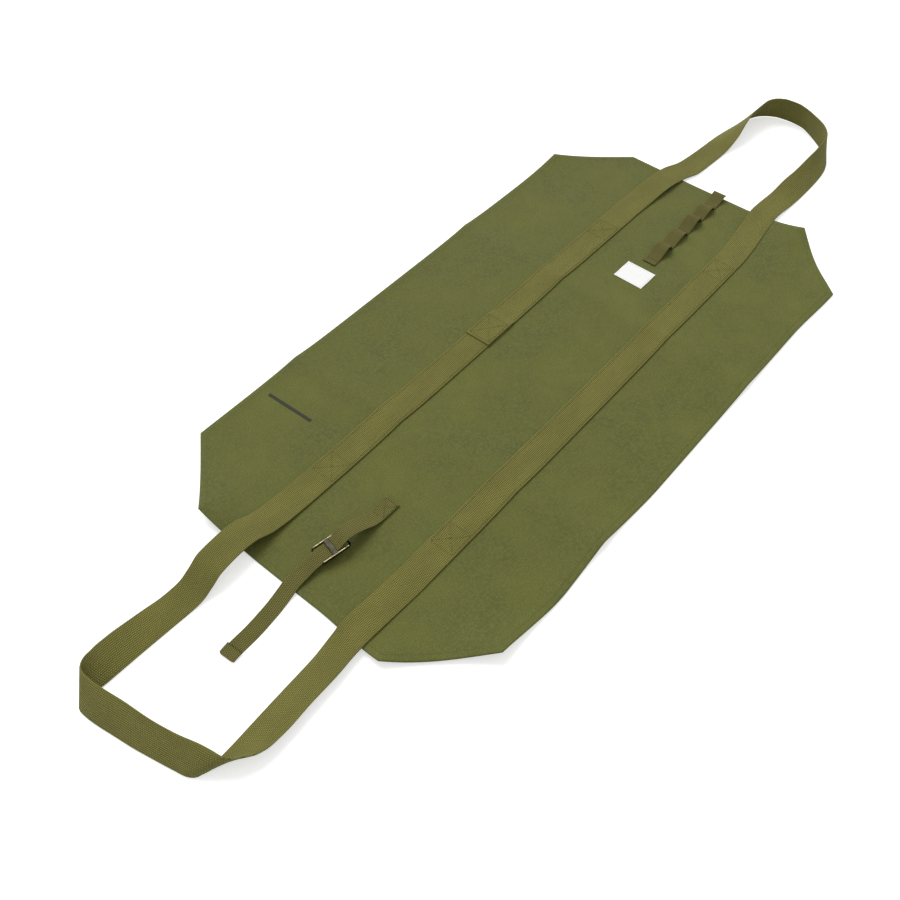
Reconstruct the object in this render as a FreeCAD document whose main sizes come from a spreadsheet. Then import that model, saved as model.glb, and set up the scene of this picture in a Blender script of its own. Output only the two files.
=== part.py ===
import FreeCAD, Part
import Sketcher
import math
import os

# A canvas firewood carrier that folds in three: an eight-sided sheet with two webbing rails
# that run on past both ends as carrying loops, a closing strap with a slide, and a strap of
# small gear loops. It lies open and flat, as it does when logs are stacked on it.
# Frame: X along the sheet (+X to the end with the gear loops), Y across it, Z up. The origin is
# the middle of the sheet's rectangle, on the surface that it lies on. Millimetres and degrees.

doc = FreeCAD.newDocument("log_carrier")

# ---- driving sizes --------------------------------------------------------------------------
DRIVING_SIZES = [
    # sheet of waxed canvas
    ("sheet_length", 900.0), ("sheet_width", 477.0),
    ("corner_along", 83.0), ("corner_across", 95.0),
    ("canvas_thick", 1.2), ("hem_width", 10.0),
    ("near_fold_at", 191.0), ("far_fold_at", 141.0), ("fold_slit", 0.3),
    # rails and loops of wide webbing
    ("webbing_width", 38.0), ("webbing_thick", 1.8),
    ("rail_spacing", 175.0), ("rail_shift", -9.4),
    ("near_box_inset", 132.0), ("far_box_inset", 150.0),
    ("lap_end_at", -24.0), ("lap_length", 50.0), ("lap_ramp", 8.0),
    ("near_loop_reach", 222.5), ("far_loop_reach", 249.0),
    ("free_gap", 0.3),
    # closing strap of narrow webbing
    ("strap_width", 20.0), ("strap_thick", 1.4),
    ("strap_end_inset", 159.0), ("strap_base_length", 29.0),
    ("strap_free_length", 232.0), ("strap_shift", -12.0), ("strap_tip_length", 14.0),
    ("strap_hump_at", 36.0), ("strap_hump_rise", 12.8), ("strap_landing_at", 165.0),
    # metal slide on the closing strap
    ("slide_at", 67.0), ("slide_length", 40.0), ("slide_rail", 2.2), ("slide_side_play", 0.5),
    ("slide_end_bar", 3.4), ("slide_bridge", 7.0), ("slide_plate", 1.3),
    ("slide_bar_thick", 1.6), ("slide_play", 0.3), ("slide_corner", 2.0),
    ("slide_round", 0.4),
    # strap of gear loops
    ("gear_width", 20.0), ("gear_thick", 1.2), ("gear_tab", 14.0), ("gear_end_inset", 0.0),
    ("gear_pitch", 36.6), ("gear_tack", 5.0), ("gear_rise", 9.0),
    # sewn label
    ("label_along", 36.0), ("label_across", 45.0), ("label_thick", 0.5), ("label_gap", 14.0),
]
GEAR_LOOPS = 5

sizes = doc.addObject("Spreadsheet::Sheet", "Sizes")
for row, (alias, number) in enumerate(DRIVING_SIZES, start=1):
    sizes.set(f"A{row}", alias)
    sizes.set(f"B{row}", str(number))
    sizes.setAlias(f"B{row}", alias)
doc.recompute()


def size(alias):
    """A driving size, as the sheet holds it."""
    return float(getattr(sizes, alias))


# ---- places worked out from the driving sizes -----------------------------------------------
places = doc.addObject("App::VarSet", "Places")


def place(name, formula):
    """Adds a length worked out from the sheet, for sketches and placements to follow."""
    places.addProperty("App::PropertyFloat", name)
    places.setExpression(name, formula)


place("half_length", "Sizes.sheet_length / 2")
place("half_width", "Sizes.sheet_width / 2")
place("corner_x", "half_length - Sizes.corner_along")
place("corner_y", "half_width - Sizes.corner_across")
place("corner_slope", "Sizes.corner_across / Sizes.corner_along")
place("hem_slant", "Sizes.hem_width * (sqrt(1 + corner_slope * corner_slope) - 1)")
place("hem_end_x", "half_length - Sizes.hem_width")
place("hem_side_y", "half_width - Sizes.hem_width")
place("hem_corner_y", "corner_y + Sizes.hem_width * corner_slope"
      " - Sizes.hem_width - hem_slant")
place("hem_corner_x", "corner_x + (Sizes.hem_width - hem_slant"
      " - Sizes.hem_width) / corner_slope")
place("half_slit", "Sizes.fold_slit / 2")
place("near_fold_x", "0 - Sizes.near_fold_at")
place("far_fold_x", "Sizes.far_fold_at")
place("near_panel_edge", "near_fold_x - half_slit")
place("middle_near_edge", "near_fold_x + half_slit")
place("middle_far_edge", "far_fold_x - half_slit")
place("far_panel_edge", "far_fold_x + half_slit")
place("canvas_top", "2 * Sizes.canvas_thick")
place("webbing_top", "canvas_top + Sizes.webbing_thick")
place("near_box_x", "Sizes.near_box_inset - half_length")
place("far_box_x", "half_length - Sizes.far_box_inset")
place("left_rail_y", "Sizes.rail_shift + (Sizes.rail_spacing - Sizes.webbing_width) / 2")
place("right_rail_y", "Sizes.rail_shift - (Sizes.rail_spacing + Sizes.webbing_width) / 2")
place("lap_under_end", "Sizes.lap_end_at + Sizes.lap_length")
place("strap_end_x", "Sizes.strap_end_inset - half_length")
place("strap_hinge_x", "strap_end_x - Sizes.strap_base_length")
doc.recompute()


def at(name):
    """A worked-out place."""
    return float(getattr(places, name))


# ---- helpers --------------------------------------------------------------------------------
def new_body(label):
    body = doc.addObject("PartDesign::Body", label)
    body.Label = label
    return body


def origin_plane(body, role):
    return next(f for f in body.Origin.OriginFeatures if f.Role == role)


def outline(body, name, corners, plane="XY_Plane", height=None):
    """A closed sketch through corners, each pair of place names pinned to the sheet's values."""
    sketch = body.newObject("Sketcher::SketchObject", name)
    sketch.AttachmentSupport = [(origin_plane(body, plane), "")]
    sketch.MapMode = "FlatFace"
    spots = [FreeCAD.Vector(sx * at(nx), sy * at(ny), 0) for (sx, nx), (sy, ny) in corners]
    for here, spot in enumerate(spots):
        sketch.addGeometry(Part.LineSegment(spot, spots[(here + 1) % len(spots)]), False)
    for here in range(len(spots)):
        after = (here + 1) % len(spots)
        sketch.addConstraint(Sketcher.Constraint("Coincident", here, 2, after, 1))
    for here, ((_, name_x), (_, name_y)) in enumerate(corners):
        pin(sketch, "DistanceX", here, spots[here].x, name_x)
        pin(sketch, "DistanceY", here, spots[here].y, name_y)
    return sketch


def pin(sketch, kind, line, reach, name):
    """Holds the start of a line at a distance from the sketch's origin."""
    if reach >= 0:
        hold = Sketcher.Constraint(kind, -1, 1, line, 1, abs(reach))
    else:
        hold = Sketcher.Constraint(kind, line, 1, -1, 1, abs(reach))
    index = sketch.addConstraint(hold)
    sketch.setExpression(f"Constraints[{index}]", f"abs(Places.{name})")


def pad(body, name, sketch, length):
    feature = body.newObject("PartDesign::Pad", name)
    feature.Profile = sketch
    feature.setExpression("Length", length)
    return feature


def pocket_up(body, name, sketch, length):
    feature = body.newObject("PartDesign::Pocket", name)
    feature.Profile = sketch
    feature.Reversed = True
    feature.setExpression("Length", length)
    return feature


def strip(label, length, width, height, x, y, z):
    """A straight run of webbing, or a flat patch."""
    run = doc.addObject("Part::Box", label)
    run.Label = label
    for prop, formula in (("Length", length), ("Width", width), ("Height", height),
                          (".Placement.Base.x", x), (".Placement.Base.y", y),
                          (".Placement.Base.z", z)):
        run.setExpression(prop, formula)
    return run


def solid_feature(label, shape):
    feature = doc.addObject("Part::Feature", label)
    feature.Label = label
    feature.Shape = shape
    return feature


def slope_limits(values):
    """Slopes at each value for a curve that never overshoots (monotone Hermite)."""
    steps = [b - a for a, b in zip(values, values[1:])]
    inner = [0.0 if a * b <= 0 else 2 * a * b / (a + b) for a, b in zip(steps, steps[1:])]
    return [steps[0]] + inner + [steps[-1]]


def along(values, where):
    """The value at a fractional station number."""
    slopes = slope_limits(values)
    low = min(int(where), len(values) - 2)
    t = where - low
    rise = values[low + 1] - values[low]
    return (values[low] + slopes[low] * t
            + (3 * rise - 2 * slopes[low] - slopes[low + 1]) * t ** 2
            + (slopes[low] + slopes[low + 1] - 2 * rise) * t ** 3)


def flat_faces(corners):
    """Two flat triangles across four corners, which twisted webbing needs to stay thin."""
    first, second, third, fourth = corners
    return [Part.Face(Part.makePolygon([first, second, third, first])),
            Part.Face(Part.makePolygon([first, third, fourth, first]))]


def ribbon(stations, width, thick, outward, cuts_per_station=2):
    """A band of webbing through stations of (x, y, z of its middle, tilt). Tilt 0 lies flat and
    90 stands on edge, turned about the run with the outer edge up; outward is +1 or -1."""
    count = (len(stations) - 1) * cuts_per_station
    wheres = [cut / cuts_per_station for cut in range(count + 1)]
    columns = [list(column) for column in zip(*stations)]
    middle = [FreeCAD.Vector(*(along(column, where) for column in columns[:3]))
              for where in wheres]
    rings = []
    for cut, where in enumerate(wheres):
        ahead = middle[min(cut + 1, count)] - middle[max(cut - 1, 0)]
        if cut in (0, count):
            ahead.y = ahead.z = 0.0
        ahead.normalize()
        side = FreeCAD.Vector(ahead.y, -ahead.x, 0) * outward
        side.normalize()
        tilt = math.radians(along(columns[3], where))
        across = side * math.cos(tilt) + side.cross(ahead) * outward * math.sin(tilt)
        normal = ahead.cross(across)
        normal.normalize()
        ring = [middle[cut] + across * (width / 2 * a) + normal * (thick / 2 * b)
                for a, b in ((1, 1), (-1, 1), (-1, -1), (1, -1))]
        below_floor = max(0.0, -min(corner.z for corner in ring))
        rings.append([corner + FreeCAD.Vector(0, 0, below_floor) for corner in ring])
    faces = [Part.Face(Part.makePolygon(end + end[:1])) for end in (rings[0], rings[-1])]
    for ring, following in zip(rings, rings[1:]):
        for edge, beside in ((0, 1), (1, 2), (3, 2), (0, 3)):
            faces += flat_faces([ring[edge], ring[beside], following[beside], following[edge]])
    shell = Part.makeShell(faces)
    shell.sewShape()
    band = Part.makeSolid(shell)
    if band.Volume < 0:
        band.reverse()
    return band


# ---- canvas sheet, cut where it folds -------------------------------------------------------
# The hem is turned under along every outer edge, so the pad is two plies thick and the pocket
# takes the second ply away inside the hem.
PLUS, MINUS = 1, -1


def end_panel(label, fold_edge):
    """An end panel with its two cut corners; places right of x = 0 are drawn mirrored."""
    body = new_body(label)
    flip = PLUS if at(fold_edge) > 0 else MINUS
    outer = [((PLUS, fold_edge), (PLUS, "half_width")), ((flip, "corner_x"), (PLUS, "half_width")),
             ((flip, "half_length"), (PLUS, "corner_y")),
             ((flip, "half_length"), (MINUS, "corner_y")),
             ((flip, "corner_x"), (MINUS, "half_width")), ((PLUS, fold_edge), (MINUS, "half_width"))]
    inner = [((PLUS, fold_edge), (PLUS, "hem_side_y")), ((flip, "hem_corner_x"), (PLUS, "hem_side_y")),
             ((flip, "hem_end_x"), (PLUS, "hem_corner_y")),
             ((flip, "hem_end_x"), (MINUS, "hem_corner_y")),
             ((flip, "hem_corner_x"), (MINUS, "hem_side_y")),
             ((PLUS, fold_edge), (MINUS, "hem_side_y"))]
    pad(body, label + "_cloth", outline(body, label + "_outline", outer), "Places.canvas_top")
    pocket_up(body, label + "_inside_hem", outline(body, label + "_hem_line", inner),
              "Sizes.canvas_thick")
    return body


def middle_panel(label):
    body = new_body(label)
    corners = [[((PLUS, "middle_near_edge"), (PLUS, side)), ((PLUS, "middle_near_edge"), (MINUS, side)),
                ((PLUS, "middle_far_edge"), (MINUS, side)), ((PLUS, "middle_far_edge"), (PLUS, side))]
               for side in ("half_width", "hem_side_y")]
    pad(body, label + "_cloth", outline(body, label + "_outline", corners[0]), "Places.canvas_top")
    pocket_up(body, label + "_inside_hem", outline(body, label + "_hem_line", corners[1]),
              "Sizes.canvas_thick")
    return body


near_canvas = end_panel("near_canvas_panel", "near_panel_edge")
middle_canvas = middle_panel("middle_canvas_panel")
far_canvas = end_panel("far_canvas_panel", "far_panel_edge")

# ---- webbing rails, cut where the sheet folds -----------------------------------------------
RAIL_RUNS = [
    ("near", "Places.near_box_x", "Places.near_panel_edge"),
    ("middle", "Places.middle_near_edge", "Places.middle_far_edge"),
    ("far", "Places.far_panel_edge", "Places.far_box_x"),
]
for side in ("left", "right"):
    for stretch, start, stop in RAIL_RUNS:
        if (side, stretch) == ("left", "middle"):
            stop = "Places.lap_under_end"
        strip(f"{side}_rail_{stretch}", f"{stop} - {start}", "Sizes.webbing_width",
              "Sizes.webbing_thick", start, f"Places.{side}_rail_y", "Places.canvas_top")

# The webbing is one length, and its two ends lap on the left rail: the far end lies on top.
lap = new_body("left_rail_lap")
place("lap_top", "webbing_top + Sizes.webbing_thick")
place("lap_ramp_start", "lap_under_end + Sizes.free_gap")
place("lap_ramp_stop", "lap_ramp_start + Sizes.lap_ramp")
place("lap_start", "Sizes.lap_end_at")
doc.recompute()
lap_side = outline(lap, "lap_side", [
    ((PLUS, "lap_start"), (PLUS, "webbing_top")), ((PLUS, "lap_ramp_start"), (PLUS, "webbing_top")),
    ((PLUS, "lap_ramp_stop"), (PLUS, "canvas_top")), ((PLUS, "middle_far_edge"), (PLUS, "canvas_top")),
    ((PLUS, "middle_far_edge"), (PLUS, "webbing_top")), ((PLUS, "lap_ramp_stop"), (PLUS, "webbing_top")),
    ((PLUS, "lap_ramp_start"), (PLUS, "lap_top")), ((PLUS, "lap_start"), (PLUS, "lap_top"))],
    plane="XZ_Plane")
pad(lap, "lap_webbing", lap_side, "Sizes.webbing_width").Reversed = True
lap.setExpression(".Placement.Base.y", "Places.left_rail_y")

# ---- carrying loops -------------------------------------------------------------------------
# Each loop is the rail webbing that runs on past the last row of stitching. A station gives the
# share of the way from the stitching to the tip of the loop, the share of half the rail spacing
# across, the height of the lower edge in widths of webbing, and the tilt about its run.
def carrying_loop(label, start_name, direction, reach, stations, outward):
    start = at(start_name)
    run = direction * (at("half_length") + reach) - start
    half_spacing = size("rail_spacing") / 2
    width, thick = size("webbing_width"), size("webbing_thick")
    flat = at("canvas_top") + size("free_gap")
    points = []
    for share, across, lift, tilt in stations:
        edge = flat if lift is None else lift * width
        height = edge + width / 2 * abs(math.sin(math.radians(tilt))) \
            + thick / 2 * abs(math.cos(math.radians(tilt)))
        points.append((start + run * share, size("rail_shift") + half_spacing * across, height, tilt))
    return solid_feature(label, ribbon(points, width, thick, outward))


ON_SHEET = None
NEAR_LOOP = [
    (0.000, 1.00, ON_SHEET, 0), (0.120, 1.00, ON_SHEET, 0), (0.245, 1.01, 0.18, 0),
    (0.370, 1.03, 0.46, 0), (0.470, 1.01, 0.45, 0), (0.550, 0.98, 0.13, 0),
    (0.630, 0.98, 0.00, 0), (0.760, 1.02, 0.00, 0), (0.860, 1.05, 0.00, 6),
    (0.925, 1.07, 0.00, 30), (0.972, 1.00, 0.00, 75), (0.995, 0.84, 0.00, 115),
    (1.000, 0.62, 0.00, 137), (0.996, 0.20, 0.00, 137), (0.977, -0.25, 0.00, 137),
    (0.950, -0.62, 0.00, 135), (0.915, -0.86, 0.00, 122), (0.860, -0.99, 0.00, 96),
    (0.770, -1.02, 0.00, 62), (0.680, -1.01, 0.00, 28), (0.590, -1.01, 0.00, 4),
    (0.500, -1.00, 0.03, 0), (0.400, -0.98, 0.12, 0), (0.245, -0.98, 0.12, 0),
    (0.120, -1.00, ON_SHEET, 0), (0.000, -1.00, ON_SHEET, 0),
]
FAR_LOOP = [
    (0.000, 1.00, ON_SHEET, 180), (0.150, 0.98, ON_SHEET, 180), (0.270, 0.94, 0.11, 180),
    (0.380, 0.88, 0.14, 180), (0.500, 0.82, 0.05, 180), (0.610, 0.79, 0.00, 178),
    (0.700, 0.78, 0.00, 165), (0.780, 0.77, 0.00, 140), (0.855, 0.76, 0.00, 112),
    (0.920, 0.72, 0.00, 94), (0.965, 0.58, 0.00, 90), (0.993, 0.32, 0.00, 90),
    (1.000, 0.04, 0.00, 90), (0.988, -0.26, 0.00, 90), (0.955, -0.55, 0.00, 90),
    (0.905, -0.78, 0.00, 93), (0.845, -0.88, 0.00, 108), (0.780, -0.89, 0.00, 140),
    (0.710, -0.89, 0.00, 170), (0.620, -0.89, 0.00, 180), (0.500, -0.88, 0.00, 180),
    (0.380, -0.87, 0.08, 180), (0.270, -0.90, 0.08, 180), (0.150, -0.97, ON_SHEET, 180),
    (0.000, -1.00, ON_SHEET, 180),
]
place("near_loop_start", "near_box_x - Sizes.fold_slit")
place("far_loop_start", "far_box_x + Sizes.fold_slit")
doc.recompute()
carrying_loop("near_carry_loop", "near_loop_start", -1, size("near_loop_reach"), NEAR_LOOP, 1)
carrying_loop("far_carry_loop", "far_loop_start", 1, size("far_loop_reach"), FAR_LOOP, -1)

# ---- closing strap --------------------------------------------------------------------------
# Its sewn end lies flat on the near panel. From the last stitching it rises in a hump, runs
# straight down through the slide to the floor beyond the sheet, and ends in a turned-back tip.
place("strap_low_y", "Sizes.strap_shift - Sizes.strap_width / 2")
doc.recompute()
strip("closing_strap_base", "Sizes.strap_base_length", "Sizes.strap_width", "Sizes.strap_thick",
      "Places.strap_hinge_x", "Places.strap_low_y", "Places.canvas_top")

strap_thick, strap_width = size("strap_thick"), size("strap_width")
hump_at, landing_at = size("strap_hump_at"), size("strap_landing_at")
rest_height = at("canvas_top") + size("free_gap")
hump_height = rest_height + size("strap_hump_rise")
strap_fall = hump_height / (landing_at - hump_at)
slide_at = size("slide_at")


def strap_underside(reach):
    """Height of the strap's lower face on its straight run, at a reach from its stitching."""
    return hump_height - strap_fall * (reach - hump_at)


def strap_middle(reach, veer, underside):
    """A station of the strap's middle line."""
    return (at("strap_hinge_x") - size("fold_slit") - reach, size("strap_shift") + veer,
            underside + strap_thick / 2, 0.0)


VEER_SLOPE = 0.10
TAIL_VEER = [(share, widths * strap_width)
             for share, widths in ((0.25, 0.65), (0.50, 0.47), (0.79, 0.27), (1.00, 0.14))]
straight_reach = [hump_at + share * (landing_at - hump_at)
                  for share in (0.06, 0.12, 0.35, 0.60, 0.82, 0.90)]
tail = size("strap_free_length") - landing_at
strap_stations = [strap_middle(0.0, 0.0, rest_height),
                  strap_middle(hump_at / 3, 0.04 * strap_width,
                               rest_height + 0.38 * (hump_height - rest_height)),
                  strap_middle(hump_at * 2 / 3, 0.10 * strap_width,
                               rest_height + 0.88 * (hump_height - rest_height))]
strap_stations += [strap_middle(reach, VEER_SLOPE * reach, strap_underside(reach))
                   for reach in straight_reach]
strap_stations += [strap_middle(landing_at + share * tail, veer, 0.0) for share, veer in TAIL_VEER]
closing_strap = solid_feature("closing_strap", ribbon(strap_stations, strap_width, strap_thick, 1))


# The tip is the strap's own end turned back on itself and sewn down.
tip_start = 1 - size("strap_tip_length") / tail
tip_veer = along([veer for _, veer in TAIL_VEER[-2:]],
                 (tip_start - TAIL_VEER[-2][0]) / (TAIL_VEER[-1][0] - TAIL_VEER[-2][0]))
tip_stations = [strap_middle(landing_at + tip_start * tail, tip_veer, strap_thick),
                strap_middle(landing_at + tail, TAIL_VEER[-1][1], strap_thick)]
solid_feature("closing_strap_tip", ribbon(tip_stations, strap_width, strap_thick, 1))

# ---- metal slide on the closing strap -------------------------------------------------------
# The strap enters over one end bar, runs under the bridge plate and leaves over the other bar.
place("slide_half_length", "Sizes.slide_length / 2")
place("slide_half_gap", "Sizes.strap_width / 2 + Sizes.slide_side_play")
place("slide_half_width", "slide_half_gap + Sizes.slide_rail")
place("slide_half_window", "slide_half_length - Sizes.slide_end_bar")
place("slide_half_bridge", "Sizes.slide_bridge / 2")
place("slide_floor", "Sizes.strap_thick / 2 + Sizes.slide_play + Sizes.slide_bar_thick")
place("slide_ceiling", "Sizes.strap_thick / 2 + Sizes.slide_play + Sizes.slide_plate")
place("slide_height", "slide_floor + slide_ceiling")
doc.recompute()


def centred_rectangle(body, name, half_x, half_y, lift):
    """A rectangle about the body's origin, in a plane lifted by a worked-out place."""
    corners = [((sx, half_x), (sy, half_y))
               for sx, sy in ((PLUS, PLUS), (MINUS, PLUS), (MINUS, MINUS), (PLUS, MINUS))]
    sketch = outline(body, name, corners)
    sketch.setExpression(".AttachmentOffset.Base.z", lift)
    return sketch


slide = new_body("strap_slide")
block = centred_rectangle(slide, "slide_block", "slide_half_length", "slide_half_width",
                          "0 - Places.slide_floor")
pad(slide, "slide_frame", block, "Places.slide_height")
channel = centred_rectangle(slide, "slide_channel", "slide_half_length", "slide_half_gap",
                            "Sizes.slide_bar_thick - Places.slide_floor")
pocket_up(slide, "slide_strap_way", channel, "Places.slide_height")
window = centred_rectangle(slide, "slide_window", "slide_half_window", "slide_half_gap",
                           "0 - Places.slide_floor")
pocket_up(slide, "slide_opening", window, "Places.slide_height")
plate = centred_rectangle(slide, "slide_plate", "slide_half_bridge", "slide_half_gap",
                          "Places.slide_ceiling - Sizes.slide_plate")
bridge = pad(slide, "slide_bridge_plate", plate, "Sizes.slide_plate")
doc.recompute()


def edge_names(shape, wanted):
    """Names of the straight edges whose two ends both satisfy a test."""
    return [f"Edge{number}" for number, edge in enumerate(shape.Edges, start=1)
            if all(wanted(vertex.Point) for vertex in edge.Vertexes)
            and wanted(edge.CenterOfMass)]


def dress(body, kind, name, base, edges, prop, amount):
    """A fillet or chamfer on named edges of the feature below it."""
    dressing = body.newObject(kind, name)
    dressing.Base = (base, edges)
    dressing.setExpression(prop, amount)
    doc.recompute()
    return dressing


NEAR_ENOUGH = 1e-6


def is_corner(point):
    return (abs(abs(point.x) - at("slide_half_length")) < NEAR_ENOUGH
            and abs(abs(point.y) - at("slide_half_width")) < NEAR_ENOUGH)


def is_outer_side(point):
    return abs(abs(point.y) - at("slide_half_width")) < NEAR_ENOUGH


corner_edges = edge_names(bridge.Shape, is_corner)
rounded = dress(slide, "PartDesign::Fillet", "slide_corners", bridge, corner_edges,
                "Radius", "Sizes.slide_corner")
side_edges = [name for name in edge_names(rounded.Shape, is_outer_side)
              if abs(rounded.Shape.getElement(name).tangentAt(0).x) > 1 - NEAR_ENOUGH]
dress(slide, "PartDesign::Chamfer", "slide_soft_edges", rounded, side_edges,
      "Size", "Sizes.slide_round")

strap_way = FreeCAD.Vector(-1.0, VEER_SLOPE, -strap_fall)
strap_way.normalize()
slide_across = FreeCAD.Vector(-strap_way.y, strap_way.x, 0)
slide_across.normalize()
slide_middle = FreeCAD.Vector(*strap_middle(slide_at, VEER_SLOPE * slide_at,
                                            strap_underside(slide_at))[:3])
slide_turn = FreeCAD.Rotation(strap_way, slide_across, strap_way.cross(slide_across), "XYZ")
slide.Placement = FreeCAD.Placement(slide_middle, slide_turn)

# ---- strap of gear loops --------------------------------------------------------------------
# One strap tacked down at even steps, so that it stands up in arches to hang tools from.
place("gear_span", "Sizes.gear_pitch - Sizes.gear_tack")
place("gear_step", "Sizes.gear_pitch")
place("gear_foot", "Sizes.gear_thick")
place("gear_far_foot", "gear_span - gear_foot")
place("gear_sagitta", "Sizes.gear_rise - Sizes.gear_thick")
place("gear_zero", "0 * Sizes.gear_pitch")
place("gear_tab_end", "0 - Sizes.gear_tab")
place("gear_start_x", f"half_length - Sizes.gear_end_inset - {GEAR_LOOPS} * Sizes.gear_pitch")
place("gear_low_y", "Sizes.rail_shift - Sizes.gear_width / 2")
doc.recompute()


def arch_outline(body, name):
    """The side view of one arch and the tack after it."""
    foot, far_foot, span = at("gear_foot"), at("gear_far_foot"), at("gear_span")
    step, thick, rise = at("gear_step"), size("gear_thick"), size("gear_rise")
    sketch = body.newObject("Sketcher::SketchObject", name)
    sketch.AttachmentSupport = [(origin_plane(body, "XZ_Plane"), "")]
    sketch.MapMode = "FlatFace"
    vector = FreeCAD.Vector
    lines = [(vector(0, 0), vector(foot, 0)), (vector(far_foot, 0), vector(step, 0)),
             (vector(step, 0), vector(step, thick)), (vector(step, thick), vector(span, thick)),
             (vector(0, thick), vector(0, 0))]
    toe, run_out, riser, tack_top, heel = [
        sketch.addGeometry(Part.LineSegment(*ends), False) for ends in lines]
    inner = sketch.addGeometry(Part.Arc(vector(foot, 0), vector(span / 2, rise - thick),
                                        vector(far_foot, 0)), False)
    outer = sketch.addGeometry(Part.Arc(vector(0, thick), vector(span / 2, rise),
                                        vector(span, thick)), False)
    # an arc's first point is its right-hand end here, because arcs run anticlockwise
    joins = [(toe, 2, inner, 2), (inner, 1, run_out, 1), (run_out, 2, riser, 1),
             (riser, 2, tack_top, 1), (tack_top, 2, outer, 1), (outer, 2, heel, 1),
             (heel, 2, toe, 1)]
    for join in joins:
        sketch.addConstraint(Sketcher.Constraint("Coincident", *join))
    for line, x_name, y_name in ((toe, "gear_zero", "gear_zero"),
                                 (run_out, "gear_far_foot", "gear_zero"),
                                 (riser, "gear_step", "gear_zero"),
                                 (tack_top, "gear_step", "gear_foot"),
                                 (heel, "gear_zero", "gear_foot")):
        pin(sketch, "DistanceX", line, at(x_name), x_name)
        pin(sketch, "DistanceY", line, at(y_name), y_name)
    for line, reach, x_name in ((toe, foot, "gear_foot"), (tack_top, span, "gear_span")):
        far = Sketcher.Constraint("DistanceX", -1, 1, line, 2, reach)
        sketch.setExpression(f"Constraints[{sketch.addConstraint(far)}]", f"Places.{x_name}")
    for arc, chord in ((inner, "(Places.gear_far_foot - Places.gear_foot)"),
                       (outer, "Places.gear_span")):
        bend = Sketcher.Constraint("Radius", arc, sketch.Geometry[arc].Radius)
        sketch.setExpression(f"Constraints[{sketch.addConstraint(bend)}]",
                             f"({chord} * {chord} / 4 + Places.gear_sagitta * Places.gear_sagitta)"
                             " / (2 * Places.gear_sagitta)")
    return sketch


gear = new_body("gear_loop_strap")
arch = pad(gear, "gear_arch", arch_outline(gear, "gear_arch_side"), "Sizes.gear_width")
arch.Reversed = True
doc.recompute()
row_of_arches = gear.newObject("PartDesign::LinearPattern", "gear_arches")
row_of_arches.Originals = [arch]
row_of_arches.Direction = (gear.Origin.OriginFeatures[0], [""])
row_of_arches.Occurrences = GEAR_LOOPS
row_of_arches.setExpression("Length", f"{GEAR_LOOPS - 1} * Sizes.gear_pitch")
gear.Tip = row_of_arches
doc.recompute()
tab_side = outline(gear, "gear_tab_side", [
    ((PLUS, "gear_zero"), (PLUS, "gear_zero")), ((PLUS, "gear_zero"), (PLUS, "gear_foot")),
    ((PLUS, "gear_tab_end"), (PLUS, "gear_foot")), ((PLUS, "gear_tab_end"), (PLUS, "gear_zero"))],
    plane="XZ_Plane")
pad(gear, "gear_tab_webbing", tab_side, "Sizes.gear_width").Reversed = True
for axis, name in (("x", "gear_start_x"), ("y", "gear_low_y"), ("z", "canvas_top")):
    gear.setExpression(f".Placement.Base.{axis}", f"Places.{name}")

# ---- sewn label, left bare ------------------------------------------------------------------
strip("label_patch", "Sizes.label_along", "Sizes.label_across", "Sizes.label_thick",
      "Places.gear_start_x - Sizes.gear_tab - Sizes.label_gap - Sizes.label_along",
      "Sizes.rail_shift - Sizes.label_across / 2", "Places.canvas_top")

# ---- check and write ------------------------------------------------------------------------
doc.recompute()
for obj in doc.Objects:
    if "Invalid" in obj.State or "Error" in obj.State:
        raise RuntimeError(f"{obj.Label} failed: {obj.State}")

sub_parts = [obj for obj in doc.Objects
             if obj.TypeId in ("PartDesign::Body", "Part::Box", "Part::Feature")]
for piece in sub_parts:
    if piece.Shape.isNull() or not piece.Shape.isValid() or piece.Shape.Volume <= 0:
        raise RuntimeError(f"{piece.Label} is not a sound solid")

os.makedirs("parts", exist_ok=True)
for piece in sub_parts:
    piece.Shape.exportStep(f"parts/{piece.Label}.step")
    box = piece.Shape.BoundBox
    print(f"{piece.Label}: {piece.Shape.Volume / 1000:.2f} cm3, {len(piece.Shape.Solids)} solid, "
          f"x {box.XMin:.1f}..{box.XMax:.1f}, y {box.YMin:.1f}..{box.YMax:.1f}, "
          f"z {box.ZMin:.1f}..{box.ZMax:.1f}")
facets = sum(len(piece.Shape.tessellate(0.25)[1]) for piece in sub_parts)
print(f"{len(sub_parts)} sub-parts, {facets} facets")
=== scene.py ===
# %% [markdown]
# # A folding firewood carrier
# A canvas sheet with eight sides lies open on a pale floor. Two webbing rails are sewn across it and
# run on past both ends as carrying loops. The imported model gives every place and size, so the first
# step loads it and reads the few sizes from which the rest is worked out.

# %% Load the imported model
import math

import bmesh
import bpy
import numpy as np
from mathutils import Matrix, Vector


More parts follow.
